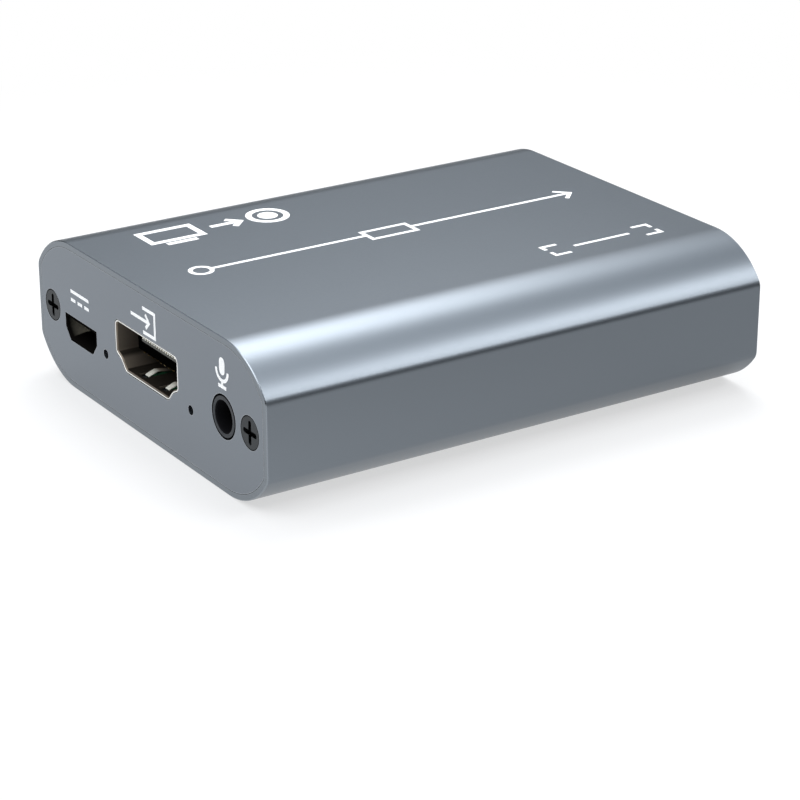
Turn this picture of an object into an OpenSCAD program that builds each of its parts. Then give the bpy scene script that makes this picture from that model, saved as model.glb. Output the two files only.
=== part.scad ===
// Video capture box: an extruded aluminium sleeve, an end plate screwed on at each end, and a
// circuit board on rails inside that carries the sockets. Millimetres, +Z up, origin at the middle
// of the base. The input end faces -Y and the output end faces +Y.

/* [Case] */
// Width across the end plates
case_w = 56; // [54:0.5:62]
// Length along the extrusion
case_len = 70; // [68:0.5:90]
// Height of the extrusion
case_h = 19; // [18:0.25:24]
// Wall of the extrusion
case_wall = 1.5; // [1.3:0.05:1.8]
// Radius of the four corner arcs
corner_r = 10.5; // [9.8:0.1:12]
// How far a corner arc reaches in from the side
corner_reach = 8.85; // [8:0.05:9.4]
// Radius of the soft crease where a corner arc meets the side
crease_r = 1.7; // [1:0.1:2.2]

/* [End plates] */
// Thickness of an end plate
plate_t = 1.5; // [1.4:0.05:1.8]
// Width of the rim of the case that shows round an end plate
rim_w = 0.7; // [0.5:0.05:0.9]
// Gap between the edge of an end plate and the rim
seam_gap = 0.1; // [0.06:0.01:0.15]

/* [Screws] */
// Diameter of the flat head
head_d = 4; // [3.6:0.1:4.4]
// Straight edge of the head above its cone
head_edge = 0.15; // [0.1:0.05:0.25]
// Diameter of the shank
shank_d = 1.9; // [1.7:0.05:2.1]
// Length from the face of the head to the tip
screw_len = 6.5; // [5:0.5:10]
// Distance of a screw from the side of the case
screw_inset = 3.7; // [3.5:0.1:4.2]
// Outside radius of a screw channel
channel_r = 2; // [1.8:0.05:2.2]
// Slit along a screw channel
channel_slit = 0.8; // [0.6:0.05:1]
// Span of the cross recess
recess_span = 3; // [2.4:0.1:3.2]
// Width of an arm of the cross recess
recess_w = 0.65; // [0.5:0.05:0.7]
// Depth of the cross recess
recess_depth = 0.5; // [0.4:0.05:0.55]

/* [Circuit board] */
// Thickness of the board
board_t = 1.6; // [1.2:0.1:1.8]
// Height of the ledges that carry the board
ledge_h = 5.1; // [5:0.05:5.4]
// How far a ledge stands in from the wall
ledge_depth = 2.1; // [1.6:0.1:2.6]
// Gap between the board's edge and the wall
board_side_gap = 0.5; // [0.4:0.05:0.7]
// Gap between the board's end and an end plate
board_end_gap = 0.2; // [0.1:0.05:0.3]
// Gap over the board in its slot
slot_gap = 0.1; // [0.05:0.05:0.2]

/* [Video sockets] */
// Middle of the input socket, seen from the front
video_in_x = 0.2; // [-1:0.1:1]
// Distance of the output socket's middle from the right side, seen from the rear
video_out_from_side = 14.1; // [13.8:0.1:14.4]
// Outside width of the shell
video_w = 15.4; // [15:0.1:15.7]
// Outside height of the shell
video_h = 6.1; // [5.8:0.05:6.3]
// Width of the shell's floor
video_floor_w = 10.6; // [10:0.1:11]
// Width at the step in the shell's lower corners
video_step_w = 12.8; // [12.4:0.1:13.2]
// Height of that step over the floor
video_step_h = 1.3; // [1.1:0.05:1.5]
// Height over the floor where the sides start
video_side_h = 1.9; // [1.7:0.05:2.2]
// Reach of the soft bends in the shell's lower corners
video_bend = 0.45; // [0.3:0.05:0.5]
// Radius of the shell's upper corners
video_corner_r = 0.8; // [0.5:0.1:1.2]
// Height of the shell's floor over the board
video_lift = 0.2; // [0.15:0.05:0.4]
// Depth of the shell
video_depth = 11.5; // [10.5:0.1:12.5]
// Width of the tongue
video_tongue_w = 11; // [10.4:0.1:11.4]
// Thickness of the tongue
video_tongue_t = 1.6; // [1.3:0.1:1.8]
// Height of the tongue's upper face over the shell's floor
video_tongue_top = 4.2; // [4:0.05:4.4]
// Depth of the tongue's front edge behind the mouth
video_tongue_in = 1.9; // [1.6:0.1:2.2]
// Pitch of the contacts in a row
video_pitch = 1; // [0.9:0.02:1.04]
// Width of a contact
video_contact_w = 0.4; // [0.3:0.02:0.44]

/* [Data socket] */
// Distance of the socket's middle from the left side, seen from the rear
data_from_side = 13.7; // [13.4:0.1:14]
// Outside width of the shell
data_w = 13.1; // [12.9:0.1:13.4]
// Outside height of the shell
data_h = 5.75; // [5.6:0.05:6.2]
// Corner radius of the shell
data_corner_r = 0.45; // [0.3:0.05:0.7]
// Height of the shell's floor over the board
data_lift = 1.05; // [0.8:0.05:1.3]
// Depth of the shell
data_depth = 13.5; // [12.5:0.1:14.5]
// How far the shell's mouth lies behind the face of the plate
data_recess = 0.2; // [0.1:0.05:0.4]
// Width of the tongue
data_tongue_w = 11.6; // [11:0.1:11.8]
// Thickness of the tongue
data_tongue_t = 1.4; // [1.2:0.1:1.8]
// Height of the tongue's upper face over the shell's floor
data_tongue_top = 4.3; // [4:0.05:4.6]
// Bevel along the tongue's lower front edge
data_tongue_bevel = 0.3; // [0.1:0.05:0.5]
// Depth of the tongue's front edge behind the shell's mouth
data_tongue_in = 0.25; // [0.1:0.05:0.6]
// Width of the four front contacts
data_contact_w = 1; // [0.8:0.05:1.1]
// Distance of the inner front contacts from the middle
data_inner_x = 1; // [0.9:0.05:1.1]
// Distance of the outer front contacts from the middle
data_outer_x = 3.5; // [3.3:0.05:3.7]
// Pitch of the five rear contacts
data_rear_pitch = 2; // [1.9:0.05:2.1]
// Width of a rear contact
data_rear_w = 0.5; // [0.4:0.05:0.6]
// Depth of the tips of the rear contacts behind the shell's mouth
data_rear_in = 6; // [5:0.1:7]
// Drop of the rear contacts below the front ones
data_rear_drop = 0.55; // [0.4:0.05:0.7]

/* [Power socket] */
// Distance of the socket's middle from the left side, seen from the front
power_from_side = 11.3; // [11:0.1:11.6]
// Outside width of the shell
power_w = 7.5; // [7.2:0.1:7.8]
// Outside height of the shell
power_h = 2.5; // [2.3:0.05:2.8]
// Width of the shell's floor
power_floor_w = 5.5; // [5.2:0.1:5.8]
// Height over the floor where the sides start
power_side_h = 1.25; // [1:0.05:1.4]
// How far the mouth flares out all round
power_flare = 0.36; // [0.2:0.02:0.42]
// Depth of the shell behind the face of the plate
power_depth = 6.8; // [6:0.1:8]
// Width of the tongue
power_tongue_w = 3.9; // [3.6:0.1:4.4]
// Thickness of the tongue
power_tongue_t = 0.6; // [0.4:0.05:0.7]
// Height of the tongue's upper face over the shell's floor
power_tongue_top = 1.75; // [1.6:0.05:1.9]
// Depth of the tongue's front edge behind the mouth
power_tongue_in = 2; // [1.7:0.1:3]
// Pitch of the contacts
power_pitch = 0.65; // [0.6:0.01:0.7]
// Width of a contact
power_contact_w = 0.35; // [0.25:0.02:0.4]

/* [Socket details] */
// Sheet of the socket shells
shell_t = 0.3; // [0.2:0.02:0.35]
// Sheet of the contacts
contact_t = 0.12; // [0.1:0.01:0.16]
// Length of the insulator block inside a shell
block_len = 3; // [2.5:0.1:4]
// Thickness of the insulator's foot behind a shell
back_t = 1.3; // [1:0.1:1.6]
// How far the contact tails stand off behind the insulator
tail_out = 0.3; // [0.2:0.05:0.4]
// Length of a contact's foot on the board
foot_len = 0.6; // [0.4:0.05:0.7]
// Distance between two rows of tails behind one socket
tail_step = 1.2; // [1:0.05:1.5]
// Width of a shell's leg
leg_w = 1; // [0.7:0.05:1.2]
// How far legs and pins stand out below the board
leg_tail = 0.6; // [0.3:0.05:1]
// Distance of the outer legs from the ends of a shell
leg_inset = 2.4; // [2:0.1:2.8]
// Width of a spring tab in a shell's floor
tab_w = 0.95; // [0.7:0.05:1.2]
// Distance of the spring tabs from the middle
tab_x = 2.5; // [2.2:0.1:2.8]
// Depth of a tab's tip behind the mouth
tab_in = 1; // [0.8:0.1:1.4]
// Length of a tab
tab_len = 4.6; // [4:0.1:5]
// Rise of a tab over the floor
tab_rise = 0.45; // [0.3:0.05:0.6]
// Gap between a tab and the window that it is cut from
tab_gap = 0.3; // [0.2:0.05:0.4]

/* [Jacks] */
// Distance of the microphone jack's axis from the right side, seen from the front
mic_from_side = 9.5; // [9.4:0.1:9.7]
// Share of the spare width at the rear that lies between the data socket and the headphone jack
audio_share = 0.46; // [0.36:0.01:0.5]
// Height of a jack's axis over the board
jack_axis_h = 2.7; // [2.65:0.05:3]
// Bore that guides the plug
jack_bore_d = 3.6; // [3.5:0.05:3.7]
// Widest part of the bore's chamfered mouth
jack_mouth_d = 3.9; // [3.8:0.1:4.2]
// Diameter of the nose that passes through the plate
jack_nose_d = 5; // [4.8:0.1:5.4]
// Length of the guiding bore from the mouth
jack_throat = 5; // [4.6:0.1:5.4]
// Wider bore behind the guiding bore
jack_clear_d = 4.1; // [3.9:0.1:4.2]
// Width of the body
jack_w = 6.4; // [6.3:0.1:7]
// Height of the body
jack_h = 5.2; // [5.1:0.1:6]
// Length of the body
jack_len = 12; // [11.6:0.1:13]
// Gap between the body and the plate
jack_gap = 0.3; // [0.25:0.05:0.5]
// Sheet of the contact leaves
leaf_t = 0.25; // [0.2:0.01:0.28]
// Height of a contact leaf
leaf_h = 1.8; // [1.4:0.1:1.9]
// Height of the side windows that the leaves move in
window_h = 2.2; // [2.1:0.05:2.4]
// Wall that closes a window at its front and rear
window_end = 0.5; // [0.4:0.05:0.8]
// Distance of a leaf's pin from the jack's axis
leaf_x = 2.5; // [2.45:0.05:2.55]
// Distance of a leaf's bend from the jack's axis
bend_x = 1.5; // [1.4:0.05:1.6]
// Length of a leaf from its pin to its bend
tip_arm = 5.2; // [4.8:0.1:5.3]
// Length of the shorter leaf from its pin to its bend
ring_arm = 4.2; // [3.6:0.1:4.6]
// Free end of a leaf beyond its bend
leaf_end = 1; // [0.8:0.1:1.1]
// Straight stretch of a leaf next to its pin
leaf_root = 0.9; // [0.7:0.1:1.2]
// Diameter of a leaf's pin
pin_d = 0.6; // [0.5:0.05:0.64]
// Width of the sleeve contact
sleeve_w = 1.2; // [0.9:0.1:1.4]

/* [Lights] */
// Place of the left front light on the way from the video socket to the power socket
light_left_share = 0.53; // [0.4:0.01:0.6]
// Place of the right front light on the way from the video socket to the microphone jack
light_right_share = 0.36; // [0.3:0.01:0.5]
// Share of the spare width at the rear that lies between the headphone jack and the light
light_rear_share = 0.22; // [0.15:0.01:0.4]
// Diameter of a light's hole in the plate
light_hole_d = 1.2; // [1:0.1:1.4]
// Height of a light's axis over the board
light_h = 0.82; // [0.75:0.01:0.95]
// Width of a light's body
light_w = 1.6; // [1.2:0.1:1.8]
// Depth of a light's body
light_depth = 1; // [0.8:0.1:1.2]
// Diameter of a light's lens
light_lens_d = 1; // [0.8:0.05:1.1]

/* [Board parts] */
// Distance of the tall parts' middle from the board's edge
tall_from_edge = 6.6; // [6.4:0.1:7]
// Side of the capture chip
capture_side = 10; // [9:0.5:11]
// Side of the loop-through chip
loop_side = 9; // [8:0.5:10]
// Height of the flat chips
flat_h = 0.9; // [0.7:0.05:1.2]
// Width of the sound and memory chips' bodies
outline_w = 3.9; // [3.6:0.1:4.4]
// Height of the sound and memory chips' bodies
outline_h = 1.5; // [1.2:0.1:1.8]
// Gap under the bodies of chips that stand on leads
outline_lift = 0.15; // [0.1:0.01:0.2]
// Length of the sound chip
sound_len = 6.5; // [6:0.1:7]
// Length of the memory chip
memory_len = 4.9; // [4.6:0.1:5.2]
// Pitch of the leads on the sound chip
sound_pitch = 0.65; // [0.6:0.01:0.68]
// Pitch of the leads on the memory chip
memory_pitch = 1.27; // [1.2:0.01:1.3]
// Side of an inductor
inductor_side = 4; // [3.6:0.1:4.4]
// Height of an inductor
inductor_h = 2; // [1.6:0.1:2.5]
// Step in an inductor's corners
inductor_step = 0.5; // [0.3:0.05:0.7]
// Diameter of a can capacitor
can_d = 5; // [4.6:0.1:5.2]
// Height of a can capacitor
can_h = 5.4; // [5:0.1:6]
// Height of a can capacitor's base
can_base_h = 0.8; // [0.6:0.1:1]
// Edge of a can capacitor's base round the can
can_base_edge = 0.15; // [0.1:0.05:0.3]
// Length of a crystal's can
crystal_len = 3.2; // [3:0.1:3.6]
// Width of a crystal's can
crystal_w = 2.5; // [2.2:0.1:2.8]
// Height of a crystal's can
crystal_h = 0.8; // [0.6:0.05:1]
// Length of the regulator's body
regulator_len = 6.5; // [6:0.1:6.8]
// Width of the regulator's body
regulator_w = 3.5; // [3.2:0.1:3.8]
// Height of the regulator's body
regulator_h = 1.6; // [1.4:0.1:1.8]
// Length of a small chip part
chip_len = 1.6; // [1.4:0.1:1.8]
// Width of a small chip part
chip_w = 0.8; // [0.6:0.05:1]
// Height of a small chip part
chip_h = 0.6; // [0.4:0.05:0.8]

/* [Fits] */
// Gap round a socket or nose in its cut-out
cutout_gap = 0.08; // [0.05:0.01:0.12]
// Gap between pieces that are pushed together
fit_gap = 0.05; // [0.03:0.01:0.06]
// Gap round legs and pins in the board
hole_gap = 0.1; // [0.08:0.01:0.12]
// Gap round a jack's nose in the plate
nose_gap = 0.2; // [0.1:0.05:0.3]

/* [Hidden] */
$fn = 64;

side_x = case_w / 2;
half_h = case_h / 2;
half_len = case_len / 2;
arc_x = side_x - corner_reach;
least_crease = 0.2;
screw_x = side_x - screw_inset;
bore_r = shank_d / 2 + fit_gap;
cone_h = (head_d - shank_d) / 2;
board_top = ledge_h + board_t;
board_w = case_w - 2 * (case_wall + board_side_gap);
board_in = plate_t + board_end_gap;
board_len = case_len - 2 * board_in;
jack_face = plate_t + jack_gap;
jack_back = jack_face + jack_len;
window_front = jack_throat + window_end;
window_back = jack_back - window_end;
pin_clear = pin_d / 2 + fit_gap;
tip_pin_y = window_front + pin_d;
ring_pin_y = window_back - pin_d;
over = 0.5;
arc_steps = 5;
bend_steps = 4;
video_upper_count = 10;
video_lower_count = 9;
sound_leads = 8;
memory_leads = 3;

// Where the sockets stand, seen from their own end
power_x = power_from_side - side_x;
mic_x = side_x - mic_from_side;
data_x = data_from_side - side_x;
video_out_x = side_x - video_out_from_side;
data_edge = data_x + data_w / 2;
rear_spare = video_out_x - video_w / 2 - data_edge - jack_w - light_w;
audio_x = data_edge + audio_share * rear_spare + jack_w / 2;
light_rear_x = audio_x + (jack_w + light_w) / 2 + light_rear_share * rear_spare;
power_edge = power_x + power_w / 2 + power_flare;
video_left = video_in_x - video_w / 2;
video_right = video_in_x + video_w / 2;
light_left_x = video_left + light_left_share * (power_edge - video_left);
light_right_x = video_right + light_right_share * (mic_x - jack_nose_d / 2 - video_right);

// Places on the board, across and along, with a turn where there is a third number
tall_x = board_w / 2 - tall_from_edge;
capture_at = [-2, 4];
loop_at = [-7, -9];
sound_at = [8.5, -9];
memory_at = [9.5, 4];
regulator_at = [-tall_x, -14];
crystals_at = [[-11, 4], [1.5, -9]];
inductors_at = [[-tall_x, -6], [-tall_x, 0]];
cans_at = [[-tall_x, 8], [tall_x, -6]];
small_capacitors_at = [[-5, 11.5, 0], [0, 11.5, 0], [5, 11.5, 0], [4.6, 4, 90], [-8.2, 4, 90],
  [-1.6, -9, 90], [-7, -15.5, 0], [4.3, -9, 90], [8.5, -14, 0], [12.8, -9, 90]];
small_resistors_at = [[-10, 11.5, 0], [10, 11.5, 0], [4.6, 8, 90], [13.4, 4, 90], [-12.8, -9, 90],
  [-3, -15.5, 0], [1.5, -13, 0], [-12, 8, 0]];

metal_grey = "#7E858D";
steel = "#C9CBCC";
dark_steel = "#4A4E51";
gold = "#C9A24B";
black = "#1B1B1D";
blue = "#0A5FD8";
board_green = "#1E4D33";
chip_black = "#26272A";
ceramic = "#A98F6B";

// Outlines and ribbons
function unit(v) = v / norm(v);
function left_of(v) = [-v[1], v[0]];
function reversed(l) = [for (i = [len(l) - 1:-1:0]) l[i]];
function arc(c, r, a0, a1) =
  [for (i = [0:arc_steps]) let (a = a0 + (a1 - a0) * i / arc_steps) c + r * [cos(a), sin(a)]];

// A soft bend at b on the way from a to c
function bend(a, b, c, reach) = let (p = b + reach * unit(a - b), q = b + reach * unit(c - b))
  [for (i = [0:bend_steps]) let (t = i / bend_steps) (1 - t) * (1 - t) * p + 2 * t * (1 - t) * b + t * t * q];

// A whole outline from its right half, listed upwards
function both_halves(half) = concat(half, [for (p = reversed(half)) [-p[0], p[1]]]);

// An outline moved outwards by d, inwards where d is negative
function grown(p, d) = let (n = len(p)) [for (i = [0:n - 1])
  let (u = -left_of(unit(p[i] - p[(i + n - 1) % n])), v = -left_of(unit(p[(i + 1) % n] - p[i])))
  p[i] + d * (u + v) / (1 + u * v)];

// One edge of a strip of sheet that follows a path
function rail(p, d) = let (n = len(p)) [for (i = [0:n - 1])
  let (u = left_of(unit(p[max(i, 1)] - p[max(i, 1) - 1])),
       v = left_of(unit(p[min(i, n - 2) + 1] - p[min(i, n - 2)])))
  p[i] + d * (u + v) / (1 + u * v)];
function ribbon(p, t) = concat(rail(p, t / 2), reversed(rail(p, -t / 2)));

// Places and directions. Socket frames have x to the right, y into the box and z up from the board
module at_front(x = 0) translate([x, -half_len, board_top]) children();
module at_rear(x = 0) rotate([0, 0, 180]) at_front(x) children();
module on_board(at, turn = 0) translate([at[0], at[1], board_top]) rotate([0, 0, turn]) children();
module inward(from, to) rotate([90, 0, 0]) translate([0, 0, -to]) linear_extrude(to - from) children();
module across(x, w) rotate([90, 0, 90]) translate([0, 0, x - w / 2]) linear_extrude(w) children();
module block(x, y, z) translate([x[0], y[0], z[0]]) cube([x[1] - x[0], y[1] - y[0], z[1] - z[0]]);
module both_sides() for (m = [0, 1]) mirror([m, 0, 0]) children();

// Case. Its section is drawn about its own middle: flat above and below, with four like corner arcs
module shoulders(inset) {
  r = corner_r - inset;
  translate([-arc_x, -case_h]) square([2 * arc_x, case_h + half_h - inset]);
  translate([-arc_x - r, -case_h]) square([2 * (arc_x + r), case_h + half_h - corner_r]);
  for (side = [-1, 1]) translate([side * arc_x, half_h - corner_r]) circle(r, $fn = 180);
}

// What the soft crease takes off the edge between a corner arc and the side
module crease_cut(inset) {
  r = corner_r - inset;
  soft = max(crease_r - inset, least_crease);
  x = side_x - inset;
  c = [arc_x, half_h - corner_r];
  e = [x - soft, c[1] + sqrt(pow(r - soft, 2) - pow(x - soft - arc_x, 2))];
  out = unit(e - c);
  polygon(concat(arc(e, soft, 0, atan2(out[1], out[0])), [c + (r + over) * out, [x + over, e[1]]]));
}

module outline(inset) translate([0, half_h]) difference() {
  intersection() {
    translate([inset - side_x, inset - half_h]) square([case_w - 2 * inset, case_h - 2 * inset]);
    shoulders(inset);
    mirror([0, 1]) shoulders(inset);
  }
  for (mx = [0, 1], mz = [0, 1]) mirror([mx, 0]) mirror([0, mz]) crease_cut(inset);
}

module rails() both_sides() {
  translate([side_x - case_wall - ledge_depth, 0]) square([ledge_depth + case_wall, ledge_h]);
  translate([screw_x, half_h]) circle(channel_r);
  translate([screw_x, board_top + slot_gap])
    square([side_x - screw_x, half_h + channel_r / 2 - board_top - slot_gap]);
}

module channels() both_sides() translate([screw_x, half_h]) {
  circle(bore_r);
  translate([-channel_r - over, -channel_slit / 2]) square([channel_r + over, channel_slit]);
}

module section() difference() {
  outline(0);
  difference() {
    outline(case_wall);
    rails();
  }
  channels();
}

module case() color(metal_grey) difference() {
  translate([0, -half_len, 0]) inward(0, case_len) section();
  for (turn = [0, 180]) rotate([0, 0, turn]) translate([0, -half_len, 0])
    inward(-over, plate_t) outline(rim_w);
}

// End plates
module screw_shape(gap) rotate([-90, 0, 0]) {
  translate([0, 0, -gap]) cylinder(r = head_d / 2 + gap, h = head_edge + gap);
  translate([0, 0, head_edge]) cylinder(r1 = head_d / 2 + gap, r2 = shank_d / 2 + gap, h = cone_h);
  cylinder(r = shank_d / 2 + gap, h = screw_len);
}

module at_screws() both_sides() translate([screw_x, -half_len, half_h]) children();

module plate() difference() {
  translate([0, -half_len, 0]) inward(0, plate_t) outline(rim_w + seam_gap);
  at_screws() screw_shape(fit_gap);
}

module light_hole() translate([0, 0, light_h]) rotate([-90, 0, 0])
  translate([0, 0, -over]) cylinder(d = light_hole_d, h = plate_t + 2 * over);

module nose_hole() translate([0, 0, jack_axis_h]) rotate([-90, 0, 0])
  translate([0, 0, -over]) cylinder(d = jack_nose_d + 2 * nose_gap, h = plate_t + 2 * over);

module cutout(lift, points) translate([0, 0, lift]) inward(-over, plate_t + over) polygon(points);

module front_plate() color(metal_grey) difference() {
  plate();
  at_front(video_in_x) cutout(video_lift, grown(video_points(), cutout_gap));
  at_front(power_x) cutout(0, grown(power_points(), power_flare + cutout_gap));
  at_front(mic_x) nose_hole();
  at_front(light_left_x) light_hole();
  at_front(light_right_x) light_hole();
}

module rear_plate() color(metal_grey) difference() {
  rotate([0, 0, 180]) plate();
  at_rear(video_out_x) cutout(video_lift, grown(video_points(), cutout_gap));
  at_rear(data_x) cutout(data_lift, grown(data_points(), cutout_gap));
  at_rear(audio_x) nose_hole();
  at_rear(light_rear_x) light_hole();
}

module screw() difference() {
  screw_shape(0);
  for (turn = [0, 90]) rotate([0, turn, 0])
    block([-recess_span / 2, recess_span / 2], [-over, recess_depth], [-recess_w / 2, recess_w / 2]);
}

module front_screws() color(dark_steel) at_screws() screw();
module rear_screws() color(dark_steel) rotate([0, 0, 180]) at_screws() screw();

// Circuit board, with the holes that the sockets' legs and pins pass through
module circuit_board() color(board_green) difference() {
  block([-board_w / 2, board_w / 2], [-board_len / 2, board_len / 2], [ledge_h, board_top]);
  at_front(video_in_x) video_legs(hole_gap, over);
  at_rear(video_out_x) video_legs(hole_gap, over);
  at_rear(data_x) data_legs(hole_gap, over);
  at_front(power_x) power_legs(hole_gap, over);
  at_front(mic_x) jack_pins(hole_gap);
  at_rear(audio_x) jack_pins(hole_gap);
}

// Pieces that the sockets share
module legs(side, depths, top, gap, extra) both_sides() for (y = depths)
  block([side - shell_t - gap, side + gap], [y - leg_w / 2 - gap, y + leg_w / 2 + gap],
    [-board_t - leg_tail - extra, top]);

module shell(points, depth) inward(0, depth) difference() {
  polygon(points);
  polygon(grown(points, -shell_t));
}

// Spring tabs cut from the floor of a shell, which lies at z = 0
module tab_windows() both_sides()
  block([tab_x - tab_w / 2 - tab_gap, tab_x + tab_w / 2 + tab_gap], [tab_in - tab_gap, tab_in + tab_len],
    [-over, shell_t + over]);

module tabs() both_sides() across(tab_x, tab_w)
  polygon(ribbon([[tab_in, shell_t / 2], [tab_in + tab_len / 3, shell_t / 2 + tab_rise],
    [tab_in + tab_len - shell_t, shell_t / 2], [tab_in + tab_len + shell_t, shell_t / 2]], shell_t / 2));

// One contact: a strip along the tongue, out of the back, down to the board and along it
module contact(x, w, front, back, z, gap = 0) across(x, w + 2 * gap)
  polygon(ribbon([[front - gap, z], [back, z], [back, contact_t / 2],
    [back + foot_len, contact_t / 2]], contact_t + 2 * gap));

// Video sockets
function video_points() = let (floor_end = [video_floor_w / 2, 0], step = [video_step_w / 2, video_step_h],
    side = [video_w / 2, video_side_h], corner = [side[0] - video_corner_r, video_h - video_corner_r])
  both_halves(concat(
    bend([0, 0], floor_end, step, video_bend),
    bend(floor_end, step, side, video_bend),
    bend(step, side, [side[0], video_h], video_bend),
    arc(corner, video_corner_r, 0, 90)));

module video_legs(gap, extra) legs(video_w / 2, [leg_inset, video_depth - leg_inset],
  video_lift + video_side_h + leg_w, gap, extra);

module video_shell() color(steel) {
  translate([0, 0, video_lift]) difference() {
    shell(video_points(), video_depth);
    tab_windows();
  }
  translate([0, 0, video_lift]) tabs();
  video_legs(0, 0);
}

module video_contact_rows(gap) {
  back = video_depth + back_t + tail_out;
  top = video_lift + video_tongue_top;
  for (i = [0:video_upper_count - 1]) contact((i - (video_upper_count - 1) / 2) * video_pitch,
    video_contact_w, video_tongue_in, back, top + contact_t / 2, gap);
  for (i = [0:video_lower_count - 1]) contact((i - (video_lower_count - 1) / 2) * video_pitch,
    video_contact_w, video_tongue_in, back, top - video_tongue_t - contact_t / 2, gap);
}

module video_insulator() color(black) difference() {
  union() {
    translate([0, 0, video_lift]) {
      inward(video_depth - block_len, video_depth + back_t)
        polygon(grown(video_points(), -shell_t - fit_gap));
      block([-video_tongue_w / 2, video_tongue_w / 2], [video_tongue_in, video_depth - block_len / 2],
        [video_tongue_top - video_tongue_t, video_tongue_top]);
    }
    block([-video_floor_w / 2, video_floor_w / 2], [video_depth + fit_gap, video_depth + back_t],
      [0, video_lift + video_side_h]);
  }
  video_slots();
}

// Slots for the contacts, through the insulator's block but not into the tongue
module video_slots() intersection() {
  video_contact_rows(fit_gap);
  block([-video_w / 2, video_w / 2], [video_depth - block_len, video_depth + back_t + over], [0, video_h]);
}

module video_in_shell() at_front(video_in_x) video_shell();
module video_in_insulator() at_front(video_in_x) video_insulator();
module video_in_contacts() color(gold) at_front(video_in_x) video_contact_rows(0);
module video_out_shell() at_rear(video_out_x) video_shell();
module video_out_insulator() at_rear(video_out_x) video_insulator();
module video_out_contacts() color(gold) at_rear(video_out_x) video_contact_rows(0);

// Data socket, whose frame is moved in by the recess of its mouth
function data_points() = let (x = data_w / 2 - data_corner_r) both_halves(concat(
  arc([x, data_corner_r], data_corner_r, -90, 0),
  arc([x, data_h - data_corner_r], data_corner_r, 0, 90)));

module at_data() at_rear(data_x) translate([0, data_recess, 0]) children();

module data_legs(gap, extra) translate([0, data_recess, 0])
  legs(data_w / 2, [2 * leg_inset, data_depth - leg_inset], data_lift + data_h / 2, gap, extra);

module data_shell() color(steel) {
  at_data() translate([0, 0, data_lift]) {
    difference() {
      shell(data_points(), data_depth);
      tab_windows();
    }
    tabs();
  }
  at_rear(data_x) data_legs(0, 0);
}

module data_contact_rows(gap) {
  back = data_depth + back_t + tail_out;
  z = data_lift + data_tongue_top - data_tongue_t - contact_t / 2;
  for (side = [-1, 1], x = [data_inner_x, data_outer_x])
    contact(side * x, data_contact_w, data_tongue_in + 2 * data_tongue_bevel, back + tail_step, z, gap);
  for (i = [-2:2])
    contact(i * data_rear_pitch, data_rear_w, data_rear_in, back, z - data_rear_drop, gap);
}

module data_insulator() color(blue) at_data() difference() {
  union() {
    translate([0, 0, data_lift]) {
      inward(data_depth - block_len, data_depth + back_t)
        polygon(grown(data_points(), -shell_t - fit_gap));
      across(0, data_tongue_w) data_tongue_side();
    }
    block([-data_tongue_w / 2, data_tongue_w / 2], [data_depth + fit_gap, data_depth + back_t],
      [0, data_lift + data_h / 2]);
  }
  intersection() {
    data_contact_rows(fit_gap);
    block([-data_w / 2, data_w / 2], [data_depth - block_len, data_depth + back_t + over],
      [0, data_lift + data_h]);
  }
}

module data_tongue_side() {
  low = data_tongue_top - data_tongue_t;
  polygon([[data_tongue_in, data_tongue_top], [data_tongue_in, low + data_tongue_bevel],
    [data_tongue_in + data_tongue_bevel, low], [data_depth - block_len / 2, low],
    [data_depth - block_len / 2, data_tongue_top]]);
}

module data_contacts() color(gold) at_data() data_contact_rows(0);

// Power socket, with a flared mouth in front of the board's edge
function power_points() = both_halves([[power_floor_w / 2, 0], [power_w / 2, power_side_h],
  [power_w / 2, power_h]]);

module power_legs(gap, extra) legs(power_w / 2, [power_depth - leg_inset], power_side_h + leg_w / 2,
  gap, extra);

module flare(d) hull() {
  inward(0, fit_gap) polygon(grown(power_points(), power_flare + d));
  inward(board_in - fit_gap, board_in) polygon(grown(power_points(), d));
}

module power_shell() color(steel) at_front(power_x) {
  difference() {
    union() {
      flare(0);
      inward(board_in - fit_gap, power_depth) polygon(power_points());
    }
    flare(-shell_t);
    translate([0, -over, 0]) flare(-shell_t);
    inward(board_in - over, power_depth + over) polygon(grown(power_points(), -shell_t));
  }
  power_legs(0, 0);
}

module power_contact_rows(gap) for (i = [-2:2])
  contact(i * power_pitch, power_contact_w, power_tongue_in, power_depth + tail_out,
    power_tongue_top - power_tongue_t - contact_t / 2, gap);

module power_insulator() color(black) at_front(power_x) difference() {
  union() {
    inward(power_depth - block_len / 2, power_depth)
      polygon(grown(power_points(), -shell_t - fit_gap));
    block([-power_tongue_w / 2, power_tongue_w / 2], [power_tongue_in, power_depth - block_len / 4],
      [power_tongue_top - power_tongue_t, power_tongue_top]);
  }
  intersection() {
    power_contact_rows(fit_gap);
    block([-power_w / 2, power_w / 2], [power_depth - block_len / 2, power_depth + over], [0, power_h]);
  }
}

module power_contacts() color(gold) at_front(power_x) power_contact_rows(0);

// Jacks. The leaves turn about their pins, which stand in the body and the board
module jack_bore() translate([0, 0, jack_axis_h]) rotate([-90, 0, 0]) {
  chamfer = (jack_mouth_d - jack_bore_d) / 2;
  translate([0, 0, -over]) cylinder(d = jack_bore_d, h = jack_throat + 2 * over);
  translate([0, 0, -fit_gap])
    cylinder(d1 = jack_mouth_d + 2 * fit_gap, d2 = jack_bore_d, h = chamfer + fit_gap);
  translate([0, 0, jack_throat]) cylinder(d = jack_clear_d, h = jack_back - jack_throat + over);
}

module jack_windows() both_sides()
  block([0, jack_w / 2 + over], [window_front, window_back],
    [jack_axis_h - window_h / 2, jack_axis_h + window_h / 2]);

module pin(x, y, gap, top) translate([x, y, -board_t - leg_tail - gap])
  cylinder(r = pin_d / 2 + gap, h = board_t + leg_tail + gap + top);

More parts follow.
